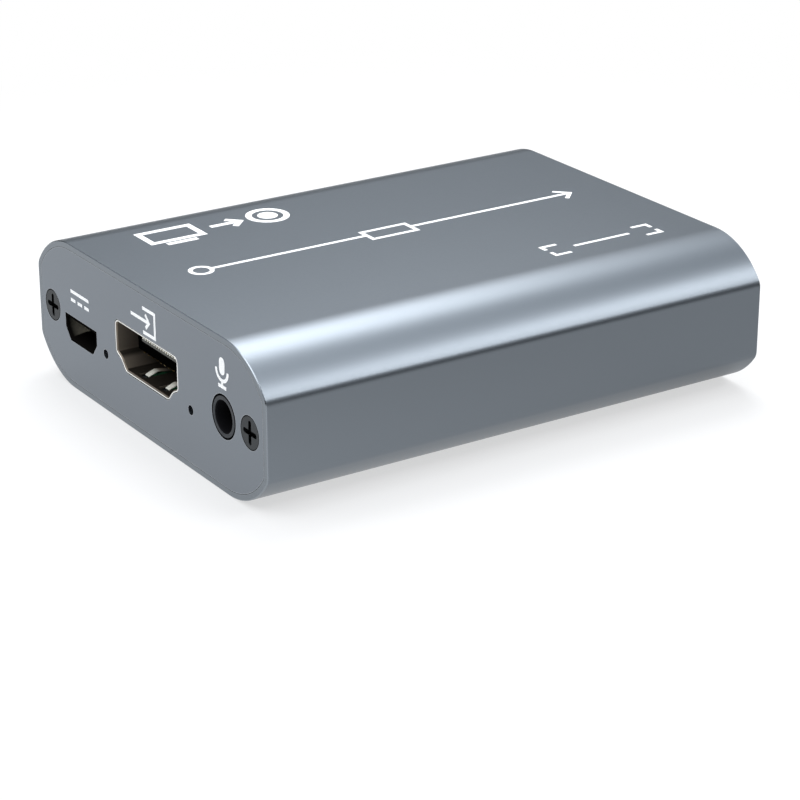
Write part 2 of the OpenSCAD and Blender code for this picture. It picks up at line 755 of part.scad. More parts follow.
module leaf_pins(gap) {
  pin(leaf_x, tip_pin_y, gap, jack_axis_h);
  pin(-leaf_x, ring_pin_y, gap, jack_axis_h);
}

// Strip under the bore that touches the plug's sleeve, with its tail down through the board
module sleeve_strip(gap) {
  low = leaf_t / 2 + fit_gap;
  high = jack_axis_h - jack_bore_d / 2;
  y = window_front;
  across(0, sleeve_w + 2 * gap) polygon(ribbon([[y - gap, low], [y + sleeve_w, high - leaf_t / 2],
    [y + 2 * sleeve_w, low], [y + 3 * sleeve_w, low], [y + 3 * sleeve_w, -board_t - leg_tail - gap]],
    leaf_t + 2 * gap));
}

module sleeve_room() {
  y = window_front;
  high = jack_axis_h - jack_bore_d / 2;
  block([-sleeve_w / 2 - fit_gap, sleeve_w / 2 + fit_gap],
    [y - 2 * fit_gap, y + 3 * sleeve_w + leaf_t], [-over, high + leaf_t]);
}

module jack_pins(gap) {
  leaf_pins(gap);
  intersection() {
    sleeve_strip(gap);
    block([-jack_w, jack_w], [0, jack_back], [-2 * board_t - leg_tail, 0]);
  }
}

module jack_body() color(black) difference() {
  union() {
    block([-jack_w / 2, jack_w / 2], [jack_face, jack_back], [0, jack_h]);
    translate([0, 0, jack_axis_h]) rotate([-90, 0, 0]) cylinder(d = jack_nose_d, h = jack_face);
  }
  jack_bore();
  jack_windows();
  leaf_pins(fit_gap);
  sleeve_room();
}

module leaf(pin_y, arm, dir) {
  path = [[leaf_x, pin_y], [leaf_x, pin_y + dir * leaf_root], [bend_x + leaf_t / 2, pin_y + dir * arm],
    [leaf_x - leaf_t, pin_y + dir * (arm + leaf_end)]];
  pin(leaf_x, pin_y, 0, jack_axis_h + leaf_h / 2);
  translate([0, 0, jack_axis_h - leaf_h / 2]) linear_extrude(leaf_h) polygon(ribbon(path, leaf_t));
}

module tip_spring() color(gold) leaf(tip_pin_y, tip_arm, 1);
module ring_spring() color(gold) mirror([1, 0, 0]) leaf(ring_pin_y, ring_arm, -1);

module mic_jack_body() at_front(mic_x) jack_body();
module mic_sleeve_contact() color(gold) at_front(mic_x) sleeve_strip(0);
module mic_tip_spring() at_front(mic_x) tip_spring();
module mic_ring_spring() at_front(mic_x) ring_spring();
module audio_jack_body() at_rear(audio_x) jack_body();
module audio_sleeve_contact() color(gold) at_rear(audio_x) sleeve_strip(0);
module audio_tip_spring() at_rear(audio_x) tip_spring();
module audio_ring_spring() at_rear(audio_x) ring_spring();

// Lights on the board's edge, behind their holes
module light() translate([0, board_in + fit_gap, 0]) {
  block([-light_w / 2, light_w / 2], [fit_gap, light_depth], [0, 2 * light_h]);
  translate([0, 0, light_h]) rotate([-90, 0, 0]) cylinder(d = light_lens_d, h = light_depth);
}

module front_lights() color("#EDEDE4") {
  at_front(light_left_x) light();
  at_front(light_right_x) light();
}
module rear_light() color("#EDEDE4") at_rear(light_rear_x) light();

// Parts on the board
module box_on(w, l, h, z = 0) translate([-w / 2, -l / 2, z]) cube([w, l, h]);

module leaded_chip(l, pitch, count) {
  box_on(outline_w, l, outline_h, outline_lift);
  knee = outline_w / 2 + foot_len / 2;
  for (m = [0, 1], i = [0:count - 1]) mirror([m, 0, 0])
    translate([0, (i - (count - 1) / 2) * pitch, 0]) rotate([0, 0, 90]) across(0, pitch / 2)
      mirror([1, 0]) polygon(ribbon([[outline_w / 2 - over, outline_h / 2], [knee, outline_h / 2],
        [knee, contact_t / 2], [knee + foot_len, contact_t / 2]], contact_t));
}

module capture_chip() color(chip_black) on_board(capture_at) box_on(capture_side, capture_side, flat_h);
module loop_chip() color(chip_black) on_board(loop_at) box_on(loop_side, loop_side, flat_h);
module sound_chip() color(chip_black) on_board(sound_at) leaded_chip(sound_len, sound_pitch, sound_leads);
module memory_chip() color(chip_black) on_board(memory_at)
  leaded_chip(memory_len, memory_pitch, memory_leads);

module crystals() color(steel) for (at = crystals_at) on_board(at) {
  box_on(crystal_len, crystal_w, crystal_h / 2);
  box_on(crystal_len - crystal_h / 2, crystal_w - crystal_h / 2, crystal_h);
}

module regulator() color(chip_black) on_board(regulator_at) {
  box_on(regulator_w, regulator_len, regulator_h);
  for (i = [-1:1]) translate([0, i * regulator_w / 2, 0])
    block([0, regulator_w / 2 + foot_len], [-leg_w / 3, leg_w / 3], [0, contact_t]);
  block([-regulator_w / 2 - foot_len, 0], [-leg_w, leg_w], [0, contact_t]);
}

module inductors() color("#3A3B3D") for (at = inductors_at) on_board(at) {
  box_on(inductor_side, inductor_side - 2 * inductor_step, inductor_h);
  box_on(inductor_side - 2 * inductor_step, inductor_side, inductor_h);
}

module can_capacitors() color("#B9BCC0") for (at = cans_at) on_board(at) {
  box_on(can_d + 2 * can_base_edge, can_d + 2 * can_base_edge, can_base_h);
  cylinder(d = can_d, h = can_h);
}

module small_parts(places) for (at = places) on_board(at, at[2]) box_on(chip_len, chip_w, chip_h);

module small_capacitors() color(ceramic) small_parts(small_capacitors_at);
module small_resistors() color("#2B2D33") small_parts(small_resistors_at);

case();
front_plate();
rear_plate();
front_screws();
rear_screws();
circuit_board();
video_in_shell();
video_in_insulator();
video_in_contacts();
video_out_shell();
video_out_insulator();
video_out_contacts();
data_shell();
data_insulator();
data_contacts();
power_shell();
power_insulator();
power_contacts();
mic_jack_body();
mic_sleeve_contact();
mic_tip_spring();
mic_ring_spring();
audio_jack_body();
audio_sleeve_contact();
audio_tip_spring();
audio_ring_spring();
front_lights();
rear_light();
capture_chip();
loop_chip();
sound_chip();
memory_chip();
crystals();
regulator();
inductors();
can_capacitors();
small_capacitors();
small_resistors();
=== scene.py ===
"""Video capture box: finishes, printed signs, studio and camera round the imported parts.

Sizes are in millimetres and angles in degrees, unless a name or a docstring says otherwise.
"""

import logging
import math
from dataclasses import dataclass, field
from enum import Enum
from typing import Any, Callable, ClassVar, Iterable, Sequence

import bmesh
import bpy
from mathutils import Matrix, Vector


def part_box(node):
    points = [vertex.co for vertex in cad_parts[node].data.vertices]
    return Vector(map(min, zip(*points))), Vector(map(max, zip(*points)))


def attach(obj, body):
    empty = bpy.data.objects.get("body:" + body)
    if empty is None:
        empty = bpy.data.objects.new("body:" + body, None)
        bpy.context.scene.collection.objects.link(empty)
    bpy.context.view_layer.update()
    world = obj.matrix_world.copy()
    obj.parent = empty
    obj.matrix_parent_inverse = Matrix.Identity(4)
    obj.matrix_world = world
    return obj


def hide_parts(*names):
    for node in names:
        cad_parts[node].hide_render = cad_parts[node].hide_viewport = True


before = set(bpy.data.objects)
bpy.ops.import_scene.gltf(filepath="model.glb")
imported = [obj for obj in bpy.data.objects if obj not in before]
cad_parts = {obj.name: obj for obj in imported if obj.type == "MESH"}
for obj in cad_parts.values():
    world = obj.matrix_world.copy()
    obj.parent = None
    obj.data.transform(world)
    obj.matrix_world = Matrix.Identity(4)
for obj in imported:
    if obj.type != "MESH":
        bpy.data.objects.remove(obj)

LOG = logging.getLogger("capture_box")
MM = 0.001
BODY = "box"
HALF_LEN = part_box("case")[1].y / MM
BOARD_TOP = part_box("circuit_board")[1].z / MM
Point = tuple[float, float]
Loop = list[Point]
NodeTree = bpy.types.NodeTree
NodeSocket = bpy.types.NodeSocket
Mesh = bpy.types.Mesh
Shape = bmesh.types.BMesh
Ring = Sequence[bmesh.types.BMVert]


class End(Enum):
    """The two ends of the box, by the turn that brings each to face -Y."""

    INPUT = 0
    OUTPUT = 180

    def place(self) -> Matrix:
        """The turn from this end's own frame to the frame of the box."""
        return Matrix.Rotation(math.radians(self.value), 4, "Z")


class Ink(Enum):
    """Colours, as they look under plain white light, and some that paint shade, highlights or reflections
    in, as marked.
    """

    ANODISED = "#7B8289"
    ANODISED_PLATE = "#7B828A"
    CUT_EDGE = "#8A9198"
    RUBBED = "#C8CDD2"
    NICKEL = "#F4F4F0"
    SHELL_SHADE = "#7A7166"
    # Painted shade: the power socket's rim, black where its flare turns from the light.
    POWER_SHELL = "#0E0D0C"
    POWER_SHADE = "#8C887B"
    # Also the painted white reflection on the contact tips.
    TAB = "#FFFCF0"
    DATA_TAB = "#7D8388"
    GOLD = "#D8BE84"
    TIN = "#CFCBBF"
    SCREW = "#33373A"
    # Painted shade in the screws' cross recesses.
    SCREW_RECESS = "#0B0B0C"
    INSULATOR = "#030303"
    # Painted highlight: the lit front edge of the tongue, on the bar under the prongs.
    COMB = "#62625E"
    DATA_BLUE = "#005ACB"
    # Painted reflection: the data shell's nickel, navy from the blue nylon that it mirrors.
    DATA_SHELL = "#06163C"
    DATA_SHADE = "#020A1C"
    JACK = "#33363A"
    JACK_SHADE = "#161618"
    MASK = "#1F5A3A"
    MASK_DARK = "#123A26"
    CHIP = "#2A2B2E"
    FERRITE = "#3C3D40"
    CAN = "#C4C6C9"
    CERAMIC = "#A98B63"
    RESISTOR = "#26272B"
    LENS = "#F1EFE4"
    PRINT = "#F7F8F8"
    FLOOR = "#FFFFFF"
    ROOM = "#F6FAFF"


def linear(ink: Ink, factor: float = 1.0) -> tuple[float, float, float, float]:
    """Turns an sRGB hex colour to linear light.

    Args:
        ink: The colour.
        factor: What the linear light is multiplied by.

    Returns:
        Red, green, blue and an alpha of 1.
    """
    channels = [int(ink.value[i:i + 2], 16) / 255 for i in (1, 3, 5)]
    light = [c / 12.92 if c <= 0.04045 else ((c + 0.055) / 1.055) ** 2.4 for c in channels]
    return (*[min(c * factor, 1.0) for c in light], 1.0)


def add_node(tree: NodeTree, kind: str, inputs: dict | None = None, **settings: Any) -> bpy.types.Node:
    """Adds a node, sets it and links it.

    Args:
        tree: The tree that gets the node.
        kind: The node's type name.
        inputs: Socket name or number to a value, or to the socket that feeds it.
        settings: The node's own properties.

    Returns:
        The new node.
    """
    node = tree.nodes.new(kind)
    for name, value in settings.items():
        setattr(node, name, value)
    for key, value in (inputs or {}).items():
        if isinstance(value, NodeSocket):
            tree.links.new(value, node.inputs[key])
        else:
            node.inputs[key].default_value = value
    return node


def middle_x(node: str, end: End) -> float:
    """A CAD node's middle across the box, as seen from an end."""
    low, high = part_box(node)
    return (end.place().inverted() @ ((low + high) / 2)).x / MM


def empty_tree(owner: bpy.types.Material | bpy.types.World) -> NodeTree:
    """Gives a material or a world a tree with no nodes yet.

    Args:
        owner: The material or the world.

    Returns:
        The empty tree.
    """
    owner.use_nodes = True
    owner.node_tree.nodes.clear()
    return owner.node_tree


def new_object(name: str, data: bpy.types.ID) -> bpy.types.Object:
    """Puts a new object into the scene.

    Args:
        name: Its name.
        data: Its mesh, light or camera.

    Returns:
        The object.
    """
    made = bpy.data.objects.new(name, data)
    bpy.context.scene.collection.objects.link(made)
    return made


def to_mesh(name: str, shape: Shape) -> Mesh:
    """Turns a shape into a mesh as it is.

    Args:
        name: The mesh's name.
        shape: The shape, which is freed.

    Returns:
        The mesh.
    """
    mesh = bpy.data.meshes.new(name)
    shape.to_mesh(mesh)
    shape.free()
    return mesh


@dataclass(frozen=True)
class Finish:
    """A surface finish: a colour that drifts a little, a grain and a gloss.

    Sizes are in millimetres: drift_mm is the width of a patch of colour, grain_mm the width of a grain
    and depth_mm its height.
    """

    LEAST_ROUGHNESS: ClassVar[float] = 0.02
    COAT_ROUGHNESS: ClassVar[float] = 0.15
    NOISE_DETAIL: ClassVar[float] = 2.0
    WORN_MATCH: ClassVar[float] = 0.8
    WEAR_SAMPLES: ClassVar[int] = 6

    name: str
    ink: Ink
    roughness: float
    metallic: float = 0.0
    drift: float = 0.04
    drift_mm: float = 6.0
    grain_mm: float = 0.2
    depth_mm: float = 0.004
    gloss_drift: float = 0.04
    stretch: float = 1.0
    coat: float = 0.0
    specular: float = 0.5
    wear: float = 0.0
    wear_mm: float = 0.12

    def material(self) -> bpy.types.Material:
        """Builds the material, or gives the one already built.

        Returns:
            The material.
        """
        known = bpy.data.materials.get(self.name)
        if known:
            return known
        made = bpy.data.materials.new(self.name)
        tree = empty_tree(made)
        place = add_node(tree, "ShaderNodeTexCoord").outputs["Object"]
        patches = self.mottle(tree, place, self.drift_mm)
        grains = self.mottle(tree, place, self.grain_mm)
        colour = add_node(tree, "ShaderNodeMix", {
            "Factor": patches, "A": linear(self.ink, 1 - self.drift), "B": linear(self.ink, 1 + self.drift),
        }, data_type="RGBA").outputs["Result"]
        gloss = add_node(tree, "ShaderNodeMapRange", {
            "Value": grains, "To Min": max(self.roughness - self.gloss_drift, self.LEAST_ROUGHNESS),
            "To Max": self.roughness + self.gloss_drift,
        }).outputs["Result"]
        bump = add_node(tree, "ShaderNodeBump", {
            "Height": grains, "Strength": 1.0, "Distance": self.depth_mm * MM,
        })
        surface = add_node(tree, "ShaderNodeBsdfPrincipled", {
            "Base Color": self.worn(tree, self.shade(tree, place, colour)), "Metallic": self.metallic,
            "Roughness": gloss, "Normal": bump.outputs["Normal"],
            "Specular IOR Level": self.gleam(tree, place), "Coat Weight": self.coat,
            "Coat Roughness": self.COAT_ROUGHNESS,
        })
        add_node(tree, "ShaderNodeOutputMaterial", {"Surface": surface.outputs["BSDF"]})
        return made

    def mottle(self, tree: NodeTree, place: NodeSocket, size_mm: float) -> NodeSocket:
        """Adds a noise whose patches are about size_mm wide, and longer along Y by the finish's stretch.

        Args:
            tree: The material's tree.
            place: The Object coordinates.
            size_mm: The width of a patch.

        Returns:
            The noise, from 0 to 1.
        """
        per_metre = 1 / (size_mm * MM)
        spread = add_node(tree, "ShaderNodeMapping", {
            "Vector": place, "Scale": (per_metre, per_metre / self.stretch, per_metre),
        })
        noise = add_node(tree, "ShaderNodeTexNoise", {
            "Vector": spread.outputs["Vector"], "Scale": 1.0, "Detail": self.NOISE_DETAIL,
        })
        return noise.outputs["Fac"]

    def shade(self, tree: NodeTree, place: NodeSocket, colour: NodeSocket) -> NodeSocket:
        """The colour as it is; a finish that varies with its place changes it here."""
        return colour

    def gleam(self, tree: NodeTree, place: NodeSocket) -> float | NodeSocket:
        """How much the surface mirrors."""
        return self.specular

    def worn(self, tree: NodeTree, colour: NodeSocket) -> NodeSocket:
        """Rubs the edges paler, where a rounded normal leaves the true one.

        Args:
            tree: The material's tree.
            colour: The colour away from the edges.

        Returns:
            The colour with its edges rubbed, or as it is where the finish has no wear.
        """
        if not self.wear:
            return colour
        soft = add_node(tree, "ShaderNodeBevel", {"Radius": self.wear_mm * MM}, samples=self.WEAR_SAMPLES)
        true = add_node(tree, "ShaderNodeNewGeometry")
        match = add_node(tree, "ShaderNodeVectorMath", {
            0: soft.outputs["Normal"], 1: true.outputs["Normal"],
        }, operation="DOT_PRODUCT")
        edge = add_node(tree, "ShaderNodeMapRange", {
            "Value": match.outputs["Value"], "From Min": 1.0, "From Max": self.WORN_MATCH,
            "To Max": self.wear,
        }).outputs["Result"]
        return add_node(tree, "ShaderNodeMix", {
            "Factor": edge, "A": colour, "B": linear(Ink.RUBBED),
        }, data_type="RGBA").outputs["Result"]


@dataclass(frozen=True)
class DeepFinish(Finish):
    """A finish with painted shade on the walls of a socket: its own colour at the mouth, darker further in.

    Light hardly reaches the inside of a socket, so the shade is painted into the colour with the depth.
    """

    DEEPEST: ClassVar[float] = 0.1
    LEDGE_FROM: ClassVar[float] = 0.75
    LEDGE_FULL: ClassVar[float] = 0.9

    # Painted shade: the colour turns to the shade colour between the first two depths and towards black by
    # the third, and faces that look up are painted darker.
    shade_ink: Ink = Ink.SHELL_SHADE
    mouth_y_mm: float = HALF_LEN
    unshaded_mm: float = 0.1
    dark_mm: float = 0.5
    black_mm: float = 6.0
    ledge_shade: float = 0.0

    def depth(self, tree: NodeTree, place: NodeSocket, near_mm: float, far_mm: float) -> NodeSocket:
        """Adds a ramp over the depth behind the end plate's face.

        Args:
            tree: The material's tree.
            place: The Object coordinates.
            near_mm: The depth where the ramp starts.
            far_mm: The depth where it ends.

        Returns:
            0 at the start, 1 at the end.
        """
        along = add_node(tree, "ShaderNodeSeparateXYZ", {"Vector": place}).outputs["Y"]
        outward = add_node(tree, "ShaderNodeMath", {0: along}, operation="ABSOLUTE").outputs["Value"]
        return add_node(tree, "ShaderNodeMapRange", {
            "Value": outward, "From Min": (self.mouth_y_mm - near_mm) * MM,
            "From Max": (self.mouth_y_mm - far_mm) * MM,
        }).outputs["Result"]

    def shade(self, tree: NodeTree, place: NodeSocket, colour: NodeSocket) -> NodeSocket:
        """Paints shade: darkens the colour with the depth, and more on faces that look up at the dark roof
        of the socket.

        Args:
            tree: The material's tree.
            place: The Object coordinates.
            colour: The colour at the mouth.

        Returns:
            The darkened colour.
        """
        normal = add_node(tree, "ShaderNodeNewGeometry").outputs["Normal"]
        upward = add_node(tree, "ShaderNodeSeparateXYZ", {"Vector": normal}).outputs["Z"]
        ledge = add_node(tree, "ShaderNodeMapRange", {
            "Value": upward, "From Min": self.LEDGE_FROM, "From Max": self.LEDGE_FULL,
            "To Max": self.ledge_shade,
        }).outputs["Result"]
        painted_shade = add_node(tree, "ShaderNodeMix", {
            "Factor": ledge, "A": linear(self.shade_ink), "B": linear(self.shade_ink, 0.0),
        }, data_type="RGBA").outputs["Result"]
        for near_mm, far_mm, ink in ((self.unshaded_mm, self.dark_mm, painted_shade),
                                     (self.dark_mm, self.black_mm, linear(self.shade_ink, self.DEEPEST))):
            colour = add_node(tree, "ShaderNodeMix", {
                "Factor": self.depth(tree, place, near_mm, far_mm), "A": colour, "B": ink,
            }, data_type="RGBA").outputs["Result"]
        return colour

    def gleam(self, tree: NodeTree, place: NodeSocket) -> float | NodeSocket:
        """Mirrors at the mouth, and no more where the painted shade is full."""
        painted_shade = self.depth(tree, place, self.unshaded_mm, self.dark_mm)
        return add_node(tree, "ShaderNodeMapRange", {
            "Value": painted_shade, "To Min": self.specular, "To Max": 0.0,
        }).outputs["Result"]


@dataclass(frozen=True)
class BoardFinish(Finish):
    """Solder mask over copper tracks, which show as paler lines."""

    pitch_mm: float = 4.8
    track_share: float = 0.08

    def shade(self, tree: NodeTree, place: NodeSocket, colour: NodeSocket) -> NodeSocket:
        """Lays paler tracks under the mask.

        Args:
            tree: The material's tree.
            place: The Object coordinates.
            colour: The mask's colour over copper.

        Returns:
            The colour with tracks.
        """
        tracks = add_node(tree, "ShaderNodeTexBrick", {
            "Vector": place, "Color1": linear(Ink.MASK_DARK), "Color2": linear(Ink.MASK_DARK, 1.1),
            "Mortar": colour, "Scale": 1 / (self.pitch_mm * MM), "Mortar Size": self.track_share,
            "Bias": 0.0,
        })
        return tracks.outputs["Color"]


class Finishes:
    """Every finish on the box. Grains finer than a pixel are drawn coarser, so that they show."""

    # Extruded aluminium, blasted with 0.05 mm beads and anodised: a satin that smears lights along the box.
    CASE = Finish("anodised_extruded_aluminium", Ink.ANODISED, 0.36, 1.0, drift=0.015, drift_mm=14,
                  grain_mm=0.16, depth_mm=0.0012, gloss_drift=0.03, stretch=3.0, wear=0.25)
    # The same finish on sheet, without the draw of the die: an even grey.
    PLATE = Finish("anodised_sheet_aluminium", Ink.ANODISED_PLATE, 0.36, 1.0, drift=0.015, drift_mm=10,
                   grain_mm=0.16, depth_mm=0.0014, gloss_drift=0.03, wear=0.8, wear_mm=0.14)
    # Aluminium where the cutter went through the anodising: a paler line round each mouth of the sleeve.
    CUT = Finish("machined_aluminium_edge", Ink.CUT_EDGE, 0.25, 1.0, drift=0.03, drift_mm=3, grain_mm=0.1,
                 depth_mm=0.001)
    # Folded steel with bright nickel: a fine white rim, and painted brown shade within, darker still on
    # faces that look up.
    SHELL = DeepFinish("nickel_plated_steel_shell", Ink.NICKEL, 0.38, 0.4, drift=0.04, drift_mm=2,
                       grain_mm=0.1, depth_mm=0.001, unshaded_mm=0.03, dark_mm=0.06, ledge_shade=0.85)
    # The same steel on the small power socket, all painted shade: a rim painted black where its flare
    # turns from the light, grey shade within, and black on faces that look up.
    POWER_SHELL = DeepFinish("shaded_nickel_power_shell", Ink.POWER_SHELL, 0.5, drift=0.05, drift_mm=1.5,
                             specular=0.0, grain_mm=0.1, depth_mm=0.001, shade_ink=Ink.POWER_SHADE,
                             unshaded_mm=0.3, dark_mm=2.5, black_mm=14, ledge_shade=1.0)
    # The same nickel round the blue insulator, with its reflection of the blue painted in: navy up to its
    # rim, and painted shade further in.
    DATA_SHELL = DeepFinish("nickel_mirroring_blue_nylon", Ink.DATA_SHELL, 0.4, 0.3, drift=0.1, drift_mm=2,
                            grain_mm=0.1, depth_mm=0.001, specular=0.2, shade_ink=Ink.DATA_SHADE,
                            unshaded_mm=0.3, dark_mm=3.5)
    # Nickel spring tab: a pale tip, with painted shade that darkens it further in.
    TAB = DeepFinish("wiped_nickel_spring_tab", Ink.TAB, 0.4, 0.1, drift=0.03, drift_mm=0.8, grain_mm=0.08,
                     depth_mm=0.001, unshaded_mm=2.0, dark_mm=3.0, black_mm=5.0)
    # The same in the data socket, further from the light: a grey tip, with painted navy shade further in.
    DATA_TAB = DeepFinish("shaded_nickel_spring_tab", Ink.DATA_TAB, 0.4, 0.3, drift=0.05, drift_mm=0.8,
                          grain_mm=0.08, depth_mm=0.001, shade_ink=Ink.DATA_SHADE, unshaded_mm=1.6,
                          dark_mm=2.6)
    # Contact tips painted white, a painted reflection on gold contacts: a row of white teeth.
    TIP = Finish("wiped_contact_tip", Ink.TAB, 0.35, 0.2, drift=0.03, drift_mm=0.5, grain_mm=0.08,
                 depth_mm=0.0008)
    # Grey nylon between the prongs, its grey a painted highlight for the lit front edge of the tongue:
    # a dull line under the teeth.
    COMB = Finish("grey_moulded_nylon_comb", Ink.COMB, 0.55, drift=0.06, drift_mm=0.6, grain_mm=0.12,
                  depth_mm=0.002, specular=0.1)
    # A thin gold flash: small warm glints.
    GOLD = Finish("flash_gold_contact", Ink.GOLD, 0.25, 1.0, drift=0.05, drift_mm=0.8, grain_mm=0.08,
                  depth_mm=0.0008)
    # Tin over bronze: a dull warm grey.
    TIN = Finish("tinned_spring_bronze", Ink.TIN, 0.35, 1.0, drift=0.05, drift_mm=0.8, grain_mm=0.08,
                 depth_mm=0.0012)
    # Steel, cold headed and black zinc plated: a smoky grey face round a recess blackened by painted shade.
    SCREW = DeepFinish("black_zinc_steel_screw", Ink.SCREW, 0.42, 0.9, drift=0.12, drift_mm=0.7,
                       grain_mm=0.1, depth_mm=0.002, wear=0.1, wear_mm=0.08, shade_ink=Ink.SCREW_RECESS,
                       unshaded_mm=0.0, dark_mm=0.05)
    # Black nylon, moulded matt: it stays dark in its socket.
    INSULATOR = Finish("black_moulded_nylon", Ink.INSULATOR, 0.6, grain_mm=0.12, depth_mm=0.002,
                       specular=0.0)
    # Blue nylon: a deep even blue with little shine.
    DATA_BLUE = Finish("blue_moulded_nylon", Ink.DATA_BLUE, 0.45, drift=0.06, drift_mm=2, grain_mm=0.15,
                       depth_mm=0.0015, specular=0.02)
    # Black nylon whose nose plugs have scuffed grey: a grey ring round a bore blackened by painted shade.
    JACK = DeepFinish("scuffed_black_nylon_jack", Ink.JACK, 0.4, drift=0.08, drift_mm=0.8, grain_mm=0.12,
                      depth_mm=0.003, shade_ink=Ink.JACK_SHADE, unshaded_mm=0.0, dark_mm=0.012, specular=0.12)
    # Solder mask: glossy green, paler over the tracks.
    BOARD = BoardFinish("green_solder_mask", Ink.MASK, 0.35, drift=0.05, drift_mm=5, grain_mm=0.3,
                        depth_mm=0.004, coat=0.3)
    # Epoxy with a fine eroded texture: matt black.
    CHIP = Finish("moulded_epoxy_chip", Ink.CHIP, 0.55, drift=0.06, drift_mm=2, grain_mm=0.12,
                  depth_mm=0.004)
    # Pressed powder: rough and charcoal.
    FERRITE = Finish("pressed_ferrite", Ink.FERRITE, 0.6, drift=0.1, drift_mm=1, grain_mm=0.15,
                     depth_mm=0.006)
    # Drawn sheet: plain bright metal.
    CAN = Finish("drawn_aluminium_can", Ink.CAN, 0.3, 1.0, drift=0.03, drift_mm=2, grain_mm=0.1,
                 depth_mm=0.001)
    # Unglazed ceramic: matt tan.
    CERAMIC = Finish("fired_ceramic_chip", Ink.CERAMIC, 0.5, drift=0.08, drift_mm=0.6, grain_mm=0.1,
                     depth_mm=0.003)
    # Glazed ceramic: glossy black.
    RESISTOR = Finish("glazed_resistor_chip", Ink.RESISTOR, 0.35, drift=0.08, drift_mm=0.6, grain_mm=0.1,
                      depth_mm=0.003)
    # Diffusing resin: milky and smooth.
    LENS = Finish("milky_resin_lens", Ink.LENS, 0.3, drift=0.03, drift_mm=0.6, grain_mm=0.15,
                  depth_mm=0.002)
    # White ink, screen printed: a thin matt film.
    PRINT = Finish("screen_printed_white_ink", Ink.PRINT, 0.6, drift=0.02, drift_mm=1.5, grain_mm=0.1,
                   depth_mm=0.002)


def arc(centre: Point, radius: float, start: float, end: float, steps: int) -> Loop:
    """Points along an arc.

    Args:
        centre: The middle of the arc.
        radius: Its radius.
        start: The angle that it starts at, in degrees.
        end: The angle that it ends at.
        steps: How many chords it has.

    Returns:
        The points, both ends with them.
    """
    angles = [math.radians(start + (end - start) * i / steps) for i in range(steps + 1)]
    return [(centre[0] + radius * math.cos(a), centre[1] + radius * math.sin(a)) for a in angles]


def ribbon(path: Sequence[Point], width: float) -> Loop:
    """The outline of a strip along a path, with mitred corners.

    Args:
        path: The middle of the strip.
        width: The strip's width.

    Returns:
        The outline, one side forwards and the other back.
    """
    points = [Vector(p) for p in path]
    sides: tuple[Loop, Loop] = ([], [])
    for i, point in enumerate(points):
        before = (points[max(i, 1)] - points[max(i, 1) - 1]).normalized()
        after = (points[min(i, len(points) - 2) + 1] - points[min(i, len(points) - 2)]).normalized()
        normal = Vector((-before.y - after.y, before.x + after.x)) / (1 + before.dot(after))
        sides[0].append(tuple(point + normal * width / 2))
        sides[1].append(tuple(point - normal * width / 2))
    return sides[0] + sides[1][::-1]


def finished_piece(name: str, mesh: Mesh, nodes: Iterable[str] = ()) -> None:
    """Puts a mesh into the scene as a piece that rides on the box.

    Args:
        name: The piece's name.
        mesh: Its mesh, in metres and in the frame of the box.
        nodes: The CAD nodes that it stands for.
    """
    piece = new_object(name, mesh)
    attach(piece, BODY)
    for node in nodes:
        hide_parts(node)
    LOG.info("%s: %d faces", name, len(mesh.polygons))


def mesh_of(name: str, shape: Shape, finishes: Sequence[Finish], smooth_deg: float = 30.0) -> Mesh:
    """Turns a shape drawn in millimetres into a mesh in metres.

    Args:
        name: The mesh's name.
        shape: The shape, which is freed.
        finishes: The finishes that its faces number.
        smooth_deg: Edges that turn by less than this are shaded as round.

    Returns:
        The mesh.
    """
    bmesh.ops.scale(shape, vec=(MM, MM, MM), verts=shape.verts)
    mesh = to_mesh(name, shape)
    for finish in finishes:
        mesh.materials.append(finish.material())
    shade_by_angle(mesh, most_deg=smooth_deg)
    return mesh


def plain_mesh(piece: bpy.types.Object, name: str) -> Mesh:
    """Makes a plain mesh of an object with its modifiers, and removes the object.

    Args:
        piece: The object.
        name: The new mesh's name.

    Returns:
        The mesh.
    """
    graph = bpy.context.evaluated_depsgraph_get()
    mesh = bpy.data.meshes.new_from_object(piece.evaluated_get(graph), depsgraph=graph)
    mesh.name = name
    bpy.data.objects.remove(piece)
    return mesh


def smooth_copy(node: str, finish: Finish, chamfer: Callable[[bmesh.types.BMEdge], float] | None = None,
                sharp_deg: float = 40.0, flat_deg: float = 0.05, weld_mm: float = 0.0005) -> Mesh:
    """Copies a CAD node's mesh, closes it, rounds its curved faces and breaks its sharp edges.

    Args:
        node: The CAD node.
        finish: The finish of the whole copy.
        chamfer: Gives the chamfer's width on an edge, in millimetres. Without it the edges stay sharp.
        sharp_deg: Edges that turn by more than this get the chamfer.
        flat_deg: Faces that meet under a smaller angle than this become one.
        weld_mm: Points nearer to each other than this become one.

    Returns:
        The new mesh.
    """
    shape = bmesh.new()
    shape.from_mesh(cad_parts[node].data)
    bmesh.ops.remove_doubles(shape, verts=shape.verts, dist=weld_mm * MM)
    bmesh.ops.dissolve_limit(shape, angle_limit=math.radians(flat_deg), verts=shape.verts,
                             edges=shape.edges)
    shape.normal_update()
    share = shape.edges.layers.float.new("bevel_weight_edge")
    sharp = [edge for edge in shape.edges if edge.calc_face_angle(0.0) > math.radians(sharp_deg)]
    widths = [chamfer(edge) for edge in sharp] if chamfer else []
    for edge, width in zip(sharp, widths):
        edge[share] = width / max(widths)
    mesh = to_mesh(node + "_copy", shape)
    mesh.materials.append(finish.material())
    work = new_object(node + "_work", mesh)
    if widths:
        bevel = work.modifiers.new("chamfer", "BEVEL")
        bevel.width = max(widths) * MM
        bevel.segments = 1
        bevel.limit_method = "WEIGHT"
        bevel.use_clamp_overlap = False
    done = plain_mesh(work, node + "_smooth")
    shade_by_angle(done)
    return done


